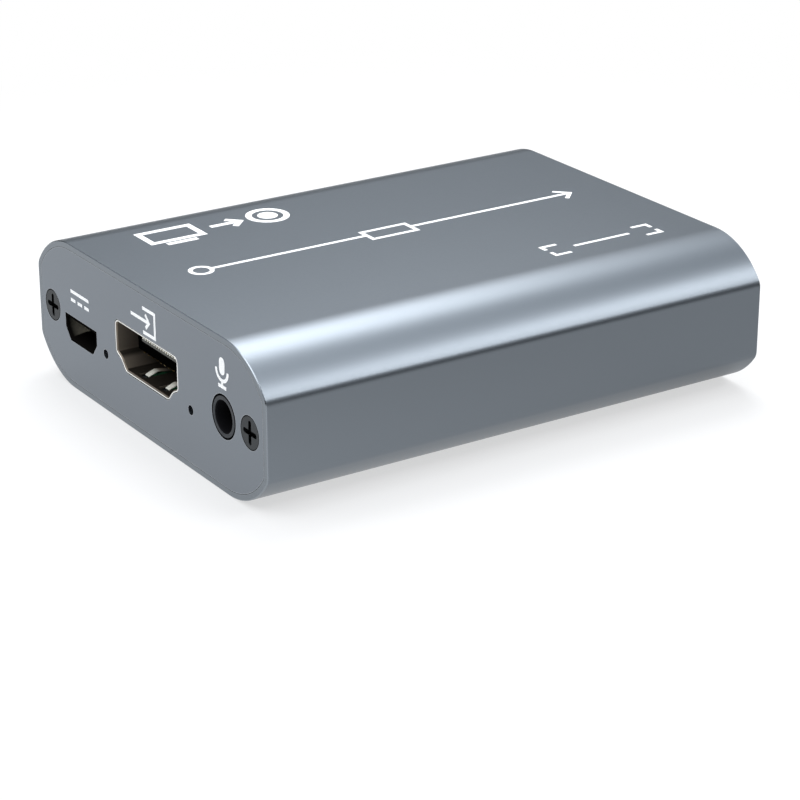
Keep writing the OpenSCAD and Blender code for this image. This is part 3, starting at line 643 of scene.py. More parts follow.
def shade_by_angle(mesh: Mesh, least_deg: float = 0.5, most_deg: float = 30.0) -> None:
    """Shades curved faces as round and flat faces as flat.

    Args:
        mesh: The mesh.
        least_deg: Faces that meet under a smaller angle than this lie in one plane.
        most_deg: Faces that meet under a larger angle than this meet in a sharp edge.
    """
    shape = bmesh.new()
    shape.from_mesh(mesh)
    for face in shape.faces:
        face.smooth = False
    for edge in shape.edges:
        if len(edge.link_faces) == 2:
            turn = math.degrees(edge.calc_face_angle(0.0))
            edge.smooth = turn < most_deg
            if least_deg < turn < most_deg:
                for face in edge.link_faces:
                    face.smooth = True
    shape.to_mesh(mesh)
    shape.free()


class CopyRow:
    """A Geometry Nodes tree that repeats one piece along a straight row."""

    def __init__(self) -> None:
        """Builds the tree once."""
        tree = bpy.data.node_groups.new("row_of_copies", "GeometryNodeTree")
        self.tree = tree
        self.inputs: dict[str, str] = {}
        for name, kind in (("Piece", "Object"), ("Count", "Int"), ("Start", "Vector"), ("Step", "Vector"),
                           ("Finish", "Material")):
            socket = tree.interface.new_socket(name, in_out="INPUT", socket_type="NodeSocket" + kind)
            self.inputs[name] = socket.identifier
        tree.interface.new_socket("Geometry", in_out="OUTPUT", socket_type="NodeSocketGeometry")
        given = add_node(tree, "NodeGroupInput").outputs
        line = add_node(tree, "GeometryNodeMeshLine", {
            "Count": given["Count"], "Start Location": given["Start"], "Offset": given["Step"],
        }, mode="OFFSET")
        piece = add_node(tree, "GeometryNodeObjectInfo", {"Object": given["Piece"]})
        copies = add_node(tree, "GeometryNodeInstanceOnPoints", {
            "Points": line.outputs["Mesh"], "Instance": piece.outputs["Geometry"],
        })
        real = add_node(tree, "GeometryNodeRealizeInstances", {"Geometry": copies.outputs["Instances"]})
        dressed = add_node(tree, "GeometryNodeSetMaterial", {
            "Geometry": real.outputs["Geometry"], "Material": given["Finish"],
        })
        add_node(tree, "NodeGroupOutput", {"Geometry": dressed.outputs["Geometry"]})

    def mesh(self, name: str, pattern: Mesh, count: int, start: Sequence[float], step: Sequence[float],
             finish: Finish) -> Mesh:
        """Repeats a mesh along a row.

        Args:
            name: The new mesh's name.
            pattern: The mesh to repeat, in metres, about its own origin.
            count: How many copies there are.
            start: Where the first copy goes, in metres.
            step: From one copy to the next, in metres.
            finish: The finish of the copies.

        Returns:
            The row as one plain mesh.
        """
        source = new_object(name + "_pattern", pattern)
        carrier = new_object(name + "_row", bpy.data.meshes.new(name + "_row"))
        row = carrier.modifiers.new("row", "NODES")
        row.node_group = self.tree
        given = {"Piece": source, "Count": count, "Start": tuple(start), "Step": tuple(step),
                 "Finish": finish.material()}
        for key, value in given.items():
            row[self.inputs[key]] = value
        bpy.context.view_layer.update()
        made = plain_mesh(carrier, name)
        bpy.data.objects.remove(source)
        return made


def joined(name: str, meshes: Sequence[Mesh], place: Matrix) -> Mesh:
    """Joins meshes of one finish each and turns them to their place.

    Args:
        name: The new mesh's name.
        meshes: The meshes.
        place: The turn and move that all of them get.

    Returns:
        The joined mesh.
    """
    materials = list(dict.fromkeys(mesh.materials[0] for mesh in meshes))
    shape = bmesh.new()
    for mesh in meshes:
        before = len(shape.faces)
        shape.from_mesh(mesh)
        shape.faces.ensure_lookup_table()
        for face in shape.faces[before:]:
            face.material_index = materials.index(mesh.materials[0])
    bmesh.ops.transform(shape, matrix=place, verts=shape.verts)
    result = to_mesh(name, shape)
    for material in materials:
        result.materials.append(material)
    shade_by_angle(result)
    return result


@dataclass
class Sleeve:
    """The extruded case: four like corner arcs, rails for the board and C-shaped screw channels."""

    wall: float = 1.5
    corner_r: float = 10.5
    corner_reach: float = 8.85
    crease_r: float = 1.7
    least_crease: float = 0.2
    rim: float = 0.75
    plate_t: float = 1.5
    edge: float = 0.1
    ledge_h: float = 5.1
    ledge_depth: float = 2.1
    slot_top: float = 6.8
    screw_inset: float = 3.7
    channel_r: float = 2.0
    bore_r: float = 1.0
    slit: float = 0.8
    channel_lip: float = 30.0
    smooth_deg: float = 25.0
    arc_steps: int = 40
    crease_steps: int = 8
    lower_steps: int = 10
    bore_steps: int = 20
    upper_steps: int = 14

    def __post_init__(self) -> None:
        """Takes the overall sizes from the frame."""
        low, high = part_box("case")
        self.side = high.x / MM
        self.height = (high.z - low.z) / MM
        self.screw_x = self.side - self.screw_inset

    def quarter(self, inset: float) -> Loop:
        """The upper right quarter of the outline, from the side to the flat top.

        Args:
            inset: How far the outline lies inside the outer one.

        Returns:
            Points about the middle of the section.
        """
        radius = self.corner_r - inset
        soft = max(self.crease_r - inset, self.least_crease)
        centre = Vector((self.side - self.corner_reach, self.height / 2 - self.corner_r))
        crease_x = self.side - inset - soft
        rise = math.sqrt((radius - soft) ** 2 - (crease_x - centre.x) ** 2)
        crease = Vector((crease_x, centre.y + rise))
        turn = math.degrees(math.atan2(rise, crease_x - centre.x))
        return (arc(crease, soft, 0, turn, self.crease_steps)
                + arc(centre, radius, turn, 90, self.arc_steps)[1:])

    def outline(self, inset: float) -> Loop:
        """The whole outline.

        Args:
            inset: How far it lies inside the outer one.

        Returns:
            Points anticlockwise from the right side, with z from the base.
        """
        first = self.quarter(inset)
        upper = first + [(-x, z) for x, z in reversed(first)]
        lower = [(-x, -z) for x, z in upper]
        return [(x, z + self.height / 2) for x, z in upper + lower]

    def cavity_half(self) -> Loop:
        """The right half of the inner contour.

        Returns:
            Points from the middle of the floor to the middle of the roof.
        """
        middle = self.height / 2
        inner = [(x, z + middle) for x, z in self.quarter(self.wall)]
        wall_x = self.side - self.wall
        ledge_x = wall_x - self.ledge_depth
        floor_r = self.corner_r - self.wall
        floor_c = (self.side - self.corner_reach, self.corner_r)
        ledge_turn = -math.degrees(math.acos((ledge_x - floor_c[0]) / floor_r))
        screw = (self.screw_x, middle)
        slit_turn = math.degrees(math.asin(self.slit / 2 / self.channel_r))
        bore_turn = math.degrees(math.asin(self.slit / 2 / self.bore_r))
        floor = arc(floor_c, floor_r, -90, ledge_turn, self.crease_steps)
        ledge = [(ledge_x, self.ledge_h), (wall_x, self.ledge_h), (wall_x, self.slot_top)]
        lower = arc(screw, self.channel_r, -90, -180 + slit_turn, self.lower_steps)
        bore = arc(screw, self.bore_r, -180 + bore_turn, 180 - bore_turn, self.bore_steps)
        upper = arc(screw, self.channel_r, 180 - slit_turn, self.channel_lip, self.upper_steps)
        web = (wall_x, middle + self.channel_r / 2)
        channel = [(self.screw_x, self.slot_top), *lower, *bore, *upper, web]
        return [(0.0, self.wall), *floor, *ledge, *channel, *inner, (0.0, self.height - self.wall)]

    def cavity(self) -> Loop:
        """The whole inner contour, anticlockwise."""
        half = self.cavity_half()
        return half + [(-x, z) for x, z in reversed(half[1:-1])]

    def build(self) -> Mesh:
        """Builds the sleeve, with a broken edge round each mouth.

        Returns:
            The mesh, with the cut edges as its second finish.
        """
        shape = bmesh.new()
        end, seat = HALF_LEN, HALF_LEN - self.plate_t
        stations = [(-seat, self.rim), (-end, self.rim), (-end, self.edge), (self.edge - end, 0.0),
                    (end - self.edge, 0.0), (end, self.edge), (end, self.rim), (seat, self.rim)]
        cut_bands = (2, 4)
        rings = [[shape.verts.new((x, y, z)) for x, z in self.outline(inset)] for y, inset in stations]
        for i, (ring, after) in enumerate(zip(rings, rings[1:])):
            for face in bridge(shape, ring, after):
                face.material_index = int(i in cut_bands)
        inside = [[shape.verts.new((x, y, z)) for x, z in self.cavity()] for y in (seat, -seat)]
        bridge(shape, *inside)
        for outer, inner in ((rings[0], inside[1]), (rings[-1], inside[0])):
            fill_between(shape, outer, inner)
        bmesh.ops.recalc_face_normals(shape, faces=shape.faces)
        return mesh_of("sleeve", shape, (Finishes.CASE, Finishes.CUT), self.smooth_deg)

    def dress(self) -> None:
        """Puts the sleeve in the place of the case."""
        finished_piece("sleeve", self.build(), ["case"])


def bridge(shape: Shape, ring: Ring, after: Ring) -> list[bmesh.types.BMFace]:
    """Joins two rings of as many points by a band of faces.

    Args:
        shape: The shape that gets the faces.
        ring: The first ring.
        after: The second ring.

    Returns:
        The new faces.
    """
    count = len(ring)
    return [shape.faces.new((ring[i], ring[(i + 1) % count], after[(i + 1) % count], after[i]))
            for i in range(count)]


def fill_ribbon(shape: Shape, ring: Ring) -> None:
    """Fills a ring that runs along a strip and back, by a row of faces across it."""
    for i in range(len(ring) // 2 - 1):
        shape.faces.new((ring[i], ring[i + 1], ring[-2 - i], ring[-1 - i]))


def band_across(outline: Loop, width: float) -> tuple[Shape, list[Ring]]:
    """Draws a band whose two open sides face along X.

    Args:
        outline: The sides' outline, as y and z.
        width: From one side to the other.

    Returns:
        The shape, and the rings round its two open sides.
    """
    shape = bmesh.new()
    sides = [[shape.verts.new((x, y, z)) for y, z in outline] for x in (-width / 2, width / 2)]
    bridge(shape, *sides)
    return shape, sides


def fill_between(shape: Shape, outer: Ring, inner: Ring) -> None:
    """Fills the flat area between two rings.

    Args:
        shape: The shape that gets the faces.
        outer: The outer ring.
        inner: The inner ring.
    """
    edges = []
    for ring in (outer, inner):
        for i, vert in enumerate(ring):
            after = ring[(i + 1) % len(ring)]
            edges.append(shape.edges.get((vert, after)) or shape.edges.new((vert, after)))
    bmesh.ops.triangle_fill(shape, edges=edges, use_beauty=True)


@dataclass
class EndPlates:
    """The two sheet metal plates."""

    nodes: tuple[str, str] = ("front_plate", "rear_plate")

    def dress(self) -> None:
        """Puts a copy with smooth round holes in the place of each plate."""
        for node in self.nodes:
            finished_piece(node + "_sheet", smooth_copy(node, Finishes.PLATE), [node])


@dataclass
class Screws:
    """Flat-head screws with a cross recess whose arms taper to the bottom."""

    rows: CopyRow
    sleeve: Sleeve
    head_r: float = 2.0
    edge_h: float = 0.15
    edge_break: float = 0.1
    shank_r: float = 0.95
    length: float = 6.5
    recess_span: float = 3.0
    recess_w: float = 0.65
    recess_depth: float = 0.5
    recess_taper: float = 0.75
    tip: float = 0.3
    around: int = 48
    arm_steps: int = 6

    def cross(self, shrink: float) -> Loop:
        """The recess's outline, with round ends to its arms.

        Args:
            shrink: What the outline's size is multiplied by.

        Returns:
            The outline, anticlockwise.
        """
        half, arm = self.recess_w / 2, self.recess_span / 2 - self.recess_w / 2
        points: Loop = []
        for turn in (0, 90, 180, 270):
            place = Matrix.Rotation(math.radians(turn), 2)
            end = arc((arm, 0.0), half, -90, 90, self.arm_steps) + [(half, half)]
            points += [tuple(place @ Vector(p) * shrink) for p in end]
        return points

    def circle(self, shape: Shape, radius: float, depth: float) -> Ring:
        """A ring of points at a depth behind the face of the head."""
        points = arc((0, 0), radius, 0, 360, self.around)[:-1]
        return [shape.verts.new((x, depth, z)) for x, z in points]

    def pattern(self) -> Mesh:
        """One screw, with the face of its head at y = 0 and its tip inwards.

        Returns:
            The mesh, in metres.
        """
        shape = bmesh.new()
        cone_end = self.edge_h + self.head_r - self.shank_r
        profile = [(self.head_r - self.edge_break, 0.0), (self.head_r, self.edge_break),
                   (self.head_r, self.edge_h), (self.shank_r, cone_end),
                   (self.shank_r, self.length - self.tip), (self.shank_r - self.tip, self.length)]
        rings = [self.circle(shape, r, y) for r, y in profile]
        for ring, after in zip(rings, rings[1:]):
            bridge(shape, ring, after)
        shape.faces.new(rings[-1])
        mouth = [shape.verts.new((x, 0, z)) for x, z in self.cross(1.0)]
        floor = [shape.verts.new((x, self.recess_depth, z)) for x, z in self.cross(self.recess_taper)]
        bridge(shape, mouth, floor)
        shape.faces.new(floor)
        fill_between(shape, rings[0], mouth)
        bmesh.ops.recalc_face_normals(shape, faces=shape.faces)
        return mesh_of("screw", shape, (Finishes.SCREW,))

    def dress(self) -> None:
        """Puts a pair of screws at each end."""
        reach = self.sleeve.screw_x * MM
        start = (-reach, -HALF_LEN * MM, self.sleeve.height / 2 * MM)
        for end, node in ((End.INPUT, "front_screws"), (End.OUTPUT, "rear_screws")):
            name = node + "_pair"
            pair = self.rows.mesh(name, self.pattern(), 2, start, (2 * reach, 0, 0), Finishes.SCREW)
            finished_piece(name, joined(name, [pair], end.place()), [node])


@dataclass(frozen=True)
class Spread:
    """Evenly spaced places across a socket: the first one's x, the pitch and the count."""

    first: float
    pitch: float
    count: int


@dataclass
class ContactRows:
    """The bent contacts of one socket. Depths are from its mouth, and heights from the top of the board."""

    rows: CopyRow
    node: str
    end: End
    width: float
    thickness: float = 0.12
    foot: float = 0.6
    nose_drop: float = 0.05
    nose_len: float = 0.12
    bend: float = 0.15
    bend_steps: int = 4
    tip_h: float = 0.21
    tip_bend: float = 0.06
    tip_len: float = 0.4
    comb_h: float = 0.34
    comb_t: float = 0.05
    meshes: list[Mesh] = field(default_factory=list)

    def __post_init__(self) -> None:
        """Takes the middle from the CAD contacts."""
        self.middle_x = middle_x(self.node, self.end)

    def pattern(self, front: float, back: float, height: float) -> Mesh:
        """One contact, with its middle at x = 0, its depth along y and its height over the board along z.

        Args:
            front: The depth of its tip.
            back: The depth of its way down.
            height: The height of its beam.

        Returns:
            The mesh, in metres.
        """
        low, bend = self.thickness / 2, self.bend
        path = [(front, height - self.nose_drop), (front + self.nose_len, height)]
        path += arc((back - bend, height - bend), bend, 90, 0, self.bend_steps)
        path += arc((back + bend, low + bend), bend, 180, 270, self.bend_steps)
        path += [(back + self.foot, low)]
        shape, sides = band_across(ribbon(path, self.thickness), self.width)
        for side in sides:
            fill_ribbon(shape, side)
        bmesh.ops.recalc_face_normals(shape, faces=shape.faces)
        return mesh_of("contact", shape, (Finishes.GOLD,))

    def add_row(self, pattern: Mesh, places: Spread, finish: Finish) -> None:
        """Adds a row of copies, whose depth is from the socket's mouth and whose height is over the board.

        Args:
            pattern: The mesh to repeat.
            places: Where the copies go.
            finish: Their finish.
        """
        start = [c * MM for c in (self.middle_x + places.first, -HALF_LEN, BOARD_TOP)]
        step = (places.pitch * MM, 0, 0)
        name = f"{self.node}_{len(self.meshes)}"
        self.meshes.append(self.rows.mesh(name, pattern, places.count, start, step, finish))

    def add_tips(self, places: Spread, width: float, front: float, height: float) -> None:
        """Adds the white prongs at the front of a row of forked contacts, and the moulded bar under them.

        The prongs' white is a painted reflection, and the bar's grey a painted highlight.

        Args:
            places: Where the prongs go.
            width: The width of a prong.
            front: The depth of the tips.
            height: The height of the prongs' middle over the board.
        """
        low, high = height - self.tip_h / 2, height + self.tip_h / 2
        outline = [(front, low), (front, high - self.tip_bend), (front + self.tip_bend, high),
                   (front + self.tip_len, high), (front + self.tip_len, low)]
        shape, sides = band_across(outline, width)
        for side in sides:
            shape.faces.new(side)
        bmesh.ops.recalc_face_normals(shape, faces=shape.faces)
        self.add_row(mesh_of("prong", shape, (Finishes.TIP,)), places, Finishes.TIP)
        self.meshes.append(self.comb(width - places.first, front, low))

    def comb(self, half: float, front: float, top: float) -> Mesh:
        """The moulded bar under the prongs, whose grey is a painted highlight.

        Args:
            half: Half its length.
            front: The depth of its face.
            top: The height of its top over the board.

        Returns:
            The mesh, in metres.
        """
        shape = bmesh.new()
        size = Vector((2 * half, self.comb_t, self.comb_h))
        middle = Vector((self.middle_x, front - HALF_LEN + self.comb_t / 2,
                         BOARD_TOP + top - self.comb_h / 2))
        bmesh.ops.create_cube(shape, size=1.0, matrix=Matrix.LocRotScale(middle, None, size))
        return mesh_of(self.node + "_comb", shape, (Finishes.COMB,))

    def add(self, places: Spread, front: float, back: float, height: float) -> None:
        """Adds a row of evenly spaced contacts.

        Args:
            places: Where the contacts go.
            front: The depth of the tips.
            back: The depth of the ways down.
            height: The height of the beams over the board.
        """
        self.add_row(self.pattern(front, back, height), places, Finishes.GOLD)

    def dress(self) -> None:
        """Puts all the rows in the place of the CAD contacts."""
        mesh = joined(self.node + "_rows", self.meshes, self.end.place())
        finished_piece(self.node + "_rows", mesh, [self.node])


@dataclass
class FoldedShell:
    """A socket's sheet steel shell with bright spring tabs in its floor."""

    node: str
    finish: Finish
    tab_finish: Finish
    end: End
    tab_x: float = 2.5
    tab_w: float = 0.95
    tab_depths: tuple[float, float] = (0.9, 5.0)
    tab_heights: tuple[float, float] = (0.0, 9.0)
    tip_end: float = 1.5
    tip_shift: float = 0.0
    middle_z: float = 10.0
    chamfer: float = 0.09
    lead_in: float = 0.09
    margin: float = 0.02
    least_inward: float = 0.1

    def __post_init__(self) -> None:
        """Takes the middle from the CAD shell."""
        self.middle_x = middle_x(self.node, self.end)

    def is_tab(self, centre: Vector) -> bool:
        """Whether a face lies on a spring tab.

        Args:
            centre: The face's middle, in the frame of the box in metres.

        Returns:
            True on a tab, False on the rest of the shell.
        """
        local = self.end.place().inverted() @ centre / MM
        beside = abs(abs(local.x - self.middle_x) - self.tab_x) < self.tab_w / 2 + self.margin
        depth = local.y + HALF_LEN
        return (beside and self.tab_depths[0] < depth < self.tab_depths[1]
                and self.tab_heights[0] < local.z < self.tab_heights[1])

    def chamfer_at(self, edge: bmesh.types.BMEdge) -> float:
        """The chamfer on an edge, which is wider round the inside of the mouth to lead the plug in.

        Args:
            edge: A sharp edge, in the frame of the box in metres.

        Returns:
            The chamfer's width in millimetres.
        """
        turn = self.end.place().inverted()
        middle = turn @ ((edge.verts[0].co + edge.verts[1].co) / 2) / MM
        inward = Vector((self.middle_x - middle.x, 0.0, self.middle_z - middle.z)).normalized()
        faces_in = any((turn @ face.normal).dot(inward) > self.least_inward for face in edge.link_faces)
        return self.lead_in if faces_in and middle.y < self.margin - HALF_LEN else self.chamfer

    def dress(self) -> None:
        """Puts a chamfered copy in the place of the shell, with its tabs bright."""
        mesh = smooth_copy(self.node, self.finish, self.chamfer_at)
        mesh.materials.append(self.tab_finish.material())
        tips = set()
        for face in mesh.polygons:
            if self.is_tab(face.center):
                face.material_index = 1
                tips.update(face.vertices)
        back = self.end.place() @ Vector((0, self.tip_shift * MM, 0))
        for vert in (mesh.vertices[i] for i in tips):
            if abs(vert.co.y) / MM > HALF_LEN - self.tip_end:
                vert.co += back
        finished_piece(self.node + "_folded", mesh, [self.node])


@dataclass
class Sockets:
    """The four flat sockets with their shells, insulators and contacts."""

    rows: CopyRow
    video_upper: Spread = Spread(-4.5, 1.0, 10)
    video_lower: Spread = Spread(-4.0, 1.0, 9)
    video_contact_w: float = 0.4
    video_upper_z: float = 4.46
    video_lower_z: float = 2.74
    video_front: float = 1.9
    video_back: float = 13.1
    video_tabs: tuple[float, float] = (6.9, 7.8)
    video_tab_shift: float = 0.34
    video_chamfer: float = 0.05
    video_lead_in: float = 0.19
    prongs: Spread = Spread(-4.125, 0.55, 16)
    prong_w: float = 0.28
    prong_reach: float = 0.06
    prong_lift: float = 0.055
    data_outer: Spread = Spread(-3.5, 7.0, 2)
    data_inner: Spread = Spread(-1.0, 2.0, 2)
    data_rear: Spread = Spread(-4.0, 2.0, 5)
    data_contact_w: float = 1.0
    data_rear_w: float = 0.5
    data_z: float = 3.89
    data_drop: float = 0.55
    data_front: float = 1.05
    data_rear_front: float = 6.2
    data_back: float = 15.3
    data_tabs: tuple[float, float] = (7.7, 8.6)
    tail_step: float = 1.2
    power_row: Spread = Spread(-1.3, 0.65, 5)
    power_contact_w: float = 0.35
    power_z: float = 1.09
    power_front: float = 2.0
    power_back: float = 7.1
    chamfer: float = 0.06

    def dress(self) -> None:
        """Dresses every socket."""
        self.video("video_in", End.INPUT)
        self.video("video_out", End.OUTPUT)
        self.data()
        self.power()

    def video(self, name: str, end: End) -> None:
        """Dresses a video socket.

        Args:
            name: What its CAD nodes' names start with.
            end: The end that it opens at.
        """
        FoldedShell(name + "_shell", Finishes.SHELL, Finishes.TAB, end, tab_heights=self.video_tabs,
                    tip_shift=self.video_tab_shift, chamfer=self.video_chamfer,
                    lead_in=self.video_lead_in).dress()
        self.insulator(name + "_insulator", Finishes.INSULATOR)
        contacts = ContactRows(self.rows, name + "_contacts", end, self.video_contact_w)
        contacts.add(self.video_upper, self.video_front, self.video_back, self.video_upper_z)
        contacts.add(self.video_lower, self.video_front, self.video_back, self.video_lower_z)
        contacts.add_tips(self.prongs, self.prong_w, self.video_front - self.prong_reach,
                          self.video_upper_z + self.prong_lift)
        contacts.dress()

    def data(self) -> None:
        """Dresses the data socket, which has four wide contacts and five narrow ones behind them."""
        FoldedShell("data_shell", Finishes.DATA_SHELL, Finishes.DATA_TAB, End.OUTPUT,
                    tab_heights=self.data_tabs).dress()
        self.insulator("data_insulator", Finishes.DATA_BLUE)
        wide = ContactRows(self.rows, "data_contacts", End.OUTPUT, self.data_contact_w)
        for places in (self.data_outer, self.data_inner):
            wide.add(places, self.data_front, self.data_back + self.tail_step, self.data_z)
        narrow = ContactRows(self.rows, "data_contacts", End.OUTPUT, self.data_rear_w)
        narrow.add(self.data_rear, self.data_rear_front, self.data_back, self.data_z - self.data_drop)
        wide.meshes += narrow.meshes
        wide.dress()

    def power(self) -> None:
        """Dresses the power socket."""
        FoldedShell("power_shell", Finishes.POWER_SHELL, Finishes.POWER_SHELL, End.INPUT).dress()
        self.insulator("power_insulator", Finishes.INSULATOR)
        contacts = ContactRows(self.rows, "power_contacts", End.INPUT, self.power_contact_w)
        contacts.add(self.power_row, self.power_front, self.power_back, self.power_z)
        contacts.dress()

    def insulator(self, node: str, finish: Finish) -> None:
        """Puts a copy with broken edges in the place of a moulded insulator.

        Args:
            node: The CAD node.
            finish: Its finish.
        """
        mesh = smooth_copy(node, finish, lambda edge: self.chamfer)
        finished_piece(node + "_moulding", mesh, [node])


@dataclass
class Jacks:
    """The two round jacks, with broken edges to their noses."""

    chamfer: float = 0.06

    def dress(self) -> None:
        """Dresses the bodies, and the contacts that stay as they are."""
        for name in ("mic", "audio"):
            body = name + "_jack_body"
            mesh = smooth_copy(body, Finishes.JACK, lambda edge: self.chamfer)
            finished_piece(body + "_moulding", mesh, [body])
            for contact in ("sleeve_contact", "tip_spring", "ring_spring"):
                assign(f"{name}_{contact}", Finishes.TIN)


def assign(node: str, finish: Finish) -> None:
    """Gives a CAD node that keeps its shape a better material.

    Args:
        node: The CAD node.
        finish: Its finish.
    """
    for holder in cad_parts[node].material_slots:
        holder.material = finish.material()
    LOG.info("%s: %s", node, finish.name)


class BoardParts:
    """The circuit board and what stands on it, which keep their CAD shapes."""

    FINISHES: ClassVar[dict[str, Finish]] = {
        "circuit_board": Finishes.BOARD,
        "front_lights": Finishes.LENS,
        "rear_light": Finishes.LENS,
        "capture_chip": Finishes.CHIP,
        "loop_chip": Finishes.CHIP,
        "sound_chip": Finishes.CHIP,
        "memory_chip": Finishes.CHIP,
        "regulator": Finishes.CHIP,
        "crystals": Finishes.CAN,
        "can_capacitors": Finishes.CAN,
        "inductors": Finishes.FERRITE,
        "small_capacitors": Finishes.CERAMIC,
        "small_resistors": Finishes.RESISTOR,
    }

    def dress(self) -> None:
        """Gives each part its finish."""
        for node, finish in self.FINISHES.items():
            assign(node, finish)


@dataclass
class Sign:
    """A generic sign in printed ink, drawn in millimetres about its own middle.

    Each stroke is thicker than the one before by the share lift, so that no two of them lie in one plane.
    """

    name: str
    outlines: list[Loop] = field(default_factory=list)
    stroke: float = 0.42
    film: float = 0.02
    lift: float = 0.1
    ring_steps: int = 32
    bow_steps: int = 20

    def line(self, *points: Point, width: float | None = None) -> "Sign":
        """Adds a line through points."""
        self.outlines.append(ribbon(points, width or self.stroke))
        return self

    def ring(self, centre: Point, radius: float) -> "Sign":
        """Adds a ring."""
        return self.line(*arc(centre, radius, 0, 360, self.ring_steps))

    def bow(self, centre: Point, radius: float, start: float) -> "Sign":
        """Adds half a ring, anticlockwise from an angle."""
        return self.line(*arc(centre, radius, start, start + 180, self.bow_steps))

    def disc(self, centre: Point, radius: float) -> "Sign":
        """Adds a filled disc."""
        self.outlines.append(arc(centre, radius, 0, 360, self.ring_steps)[:-1])
        return self

    def rectangle(self, low: Point, high: Point) -> "Sign":
        """Adds the four sides of a rectangle.

        Args:
            low: Its lower left corner.
            high: Its upper right corner.

        Returns:
            This sign.
        """
        (left, base), (right, top), edge = low, high, self.stroke / 2
        self.line((left, base), (left, top), (right, top), (right, base))
        return self.line((left - edge, base - edge), (right + edge, base - edge))

    def arrow(self, tail: Point, head: Point, barb: float) -> "Sign":
        """Adds a straight arrow.

        Args:
            tail: Where it starts.
            head: Where it points.
            barb: How far its barbs reach back and to each side.

        Returns:
            This sign.
        """
        along = (Vector(head) - Vector(tail)).normalized()
        side = Vector((-along.y, along.x))
        tips = [Vector(head) - along * barb + side * barb * s for s in (1, -1)]
        self.line(tail, tuple(Vector(head) - along * self.stroke / 2))
        return self.line(tuple(tips[0]), head, tuple(tips[1]))

    def mesh(self, place: Matrix) -> Mesh:
        """Lays the sign as a film of ink.

        Args:
            place: From the sign's own plane, with x to the right and y up, to the box, in millimetres.

        Returns:
            The mesh, in metres.
        """
        shape = bmesh.new()
        for i, outline in enumerate(self.outlines):
            top = self.film * (1 + i * self.lift)
            back, front = ([shape.verts.new((x, y, z)) for x, y in outline] for z in (0.0, top))
            bridge(shape, back, front)
            for ring in (back, front):
                fill_ribbon(shape, ring)
        bmesh.ops.recalc_face_normals(shape, faces=shape.faces)
        bmesh.ops.transform(shape, matrix=place, verts=shape.verts)
        return mesh_of(self.name, shape, (Finishes.PRINT,))


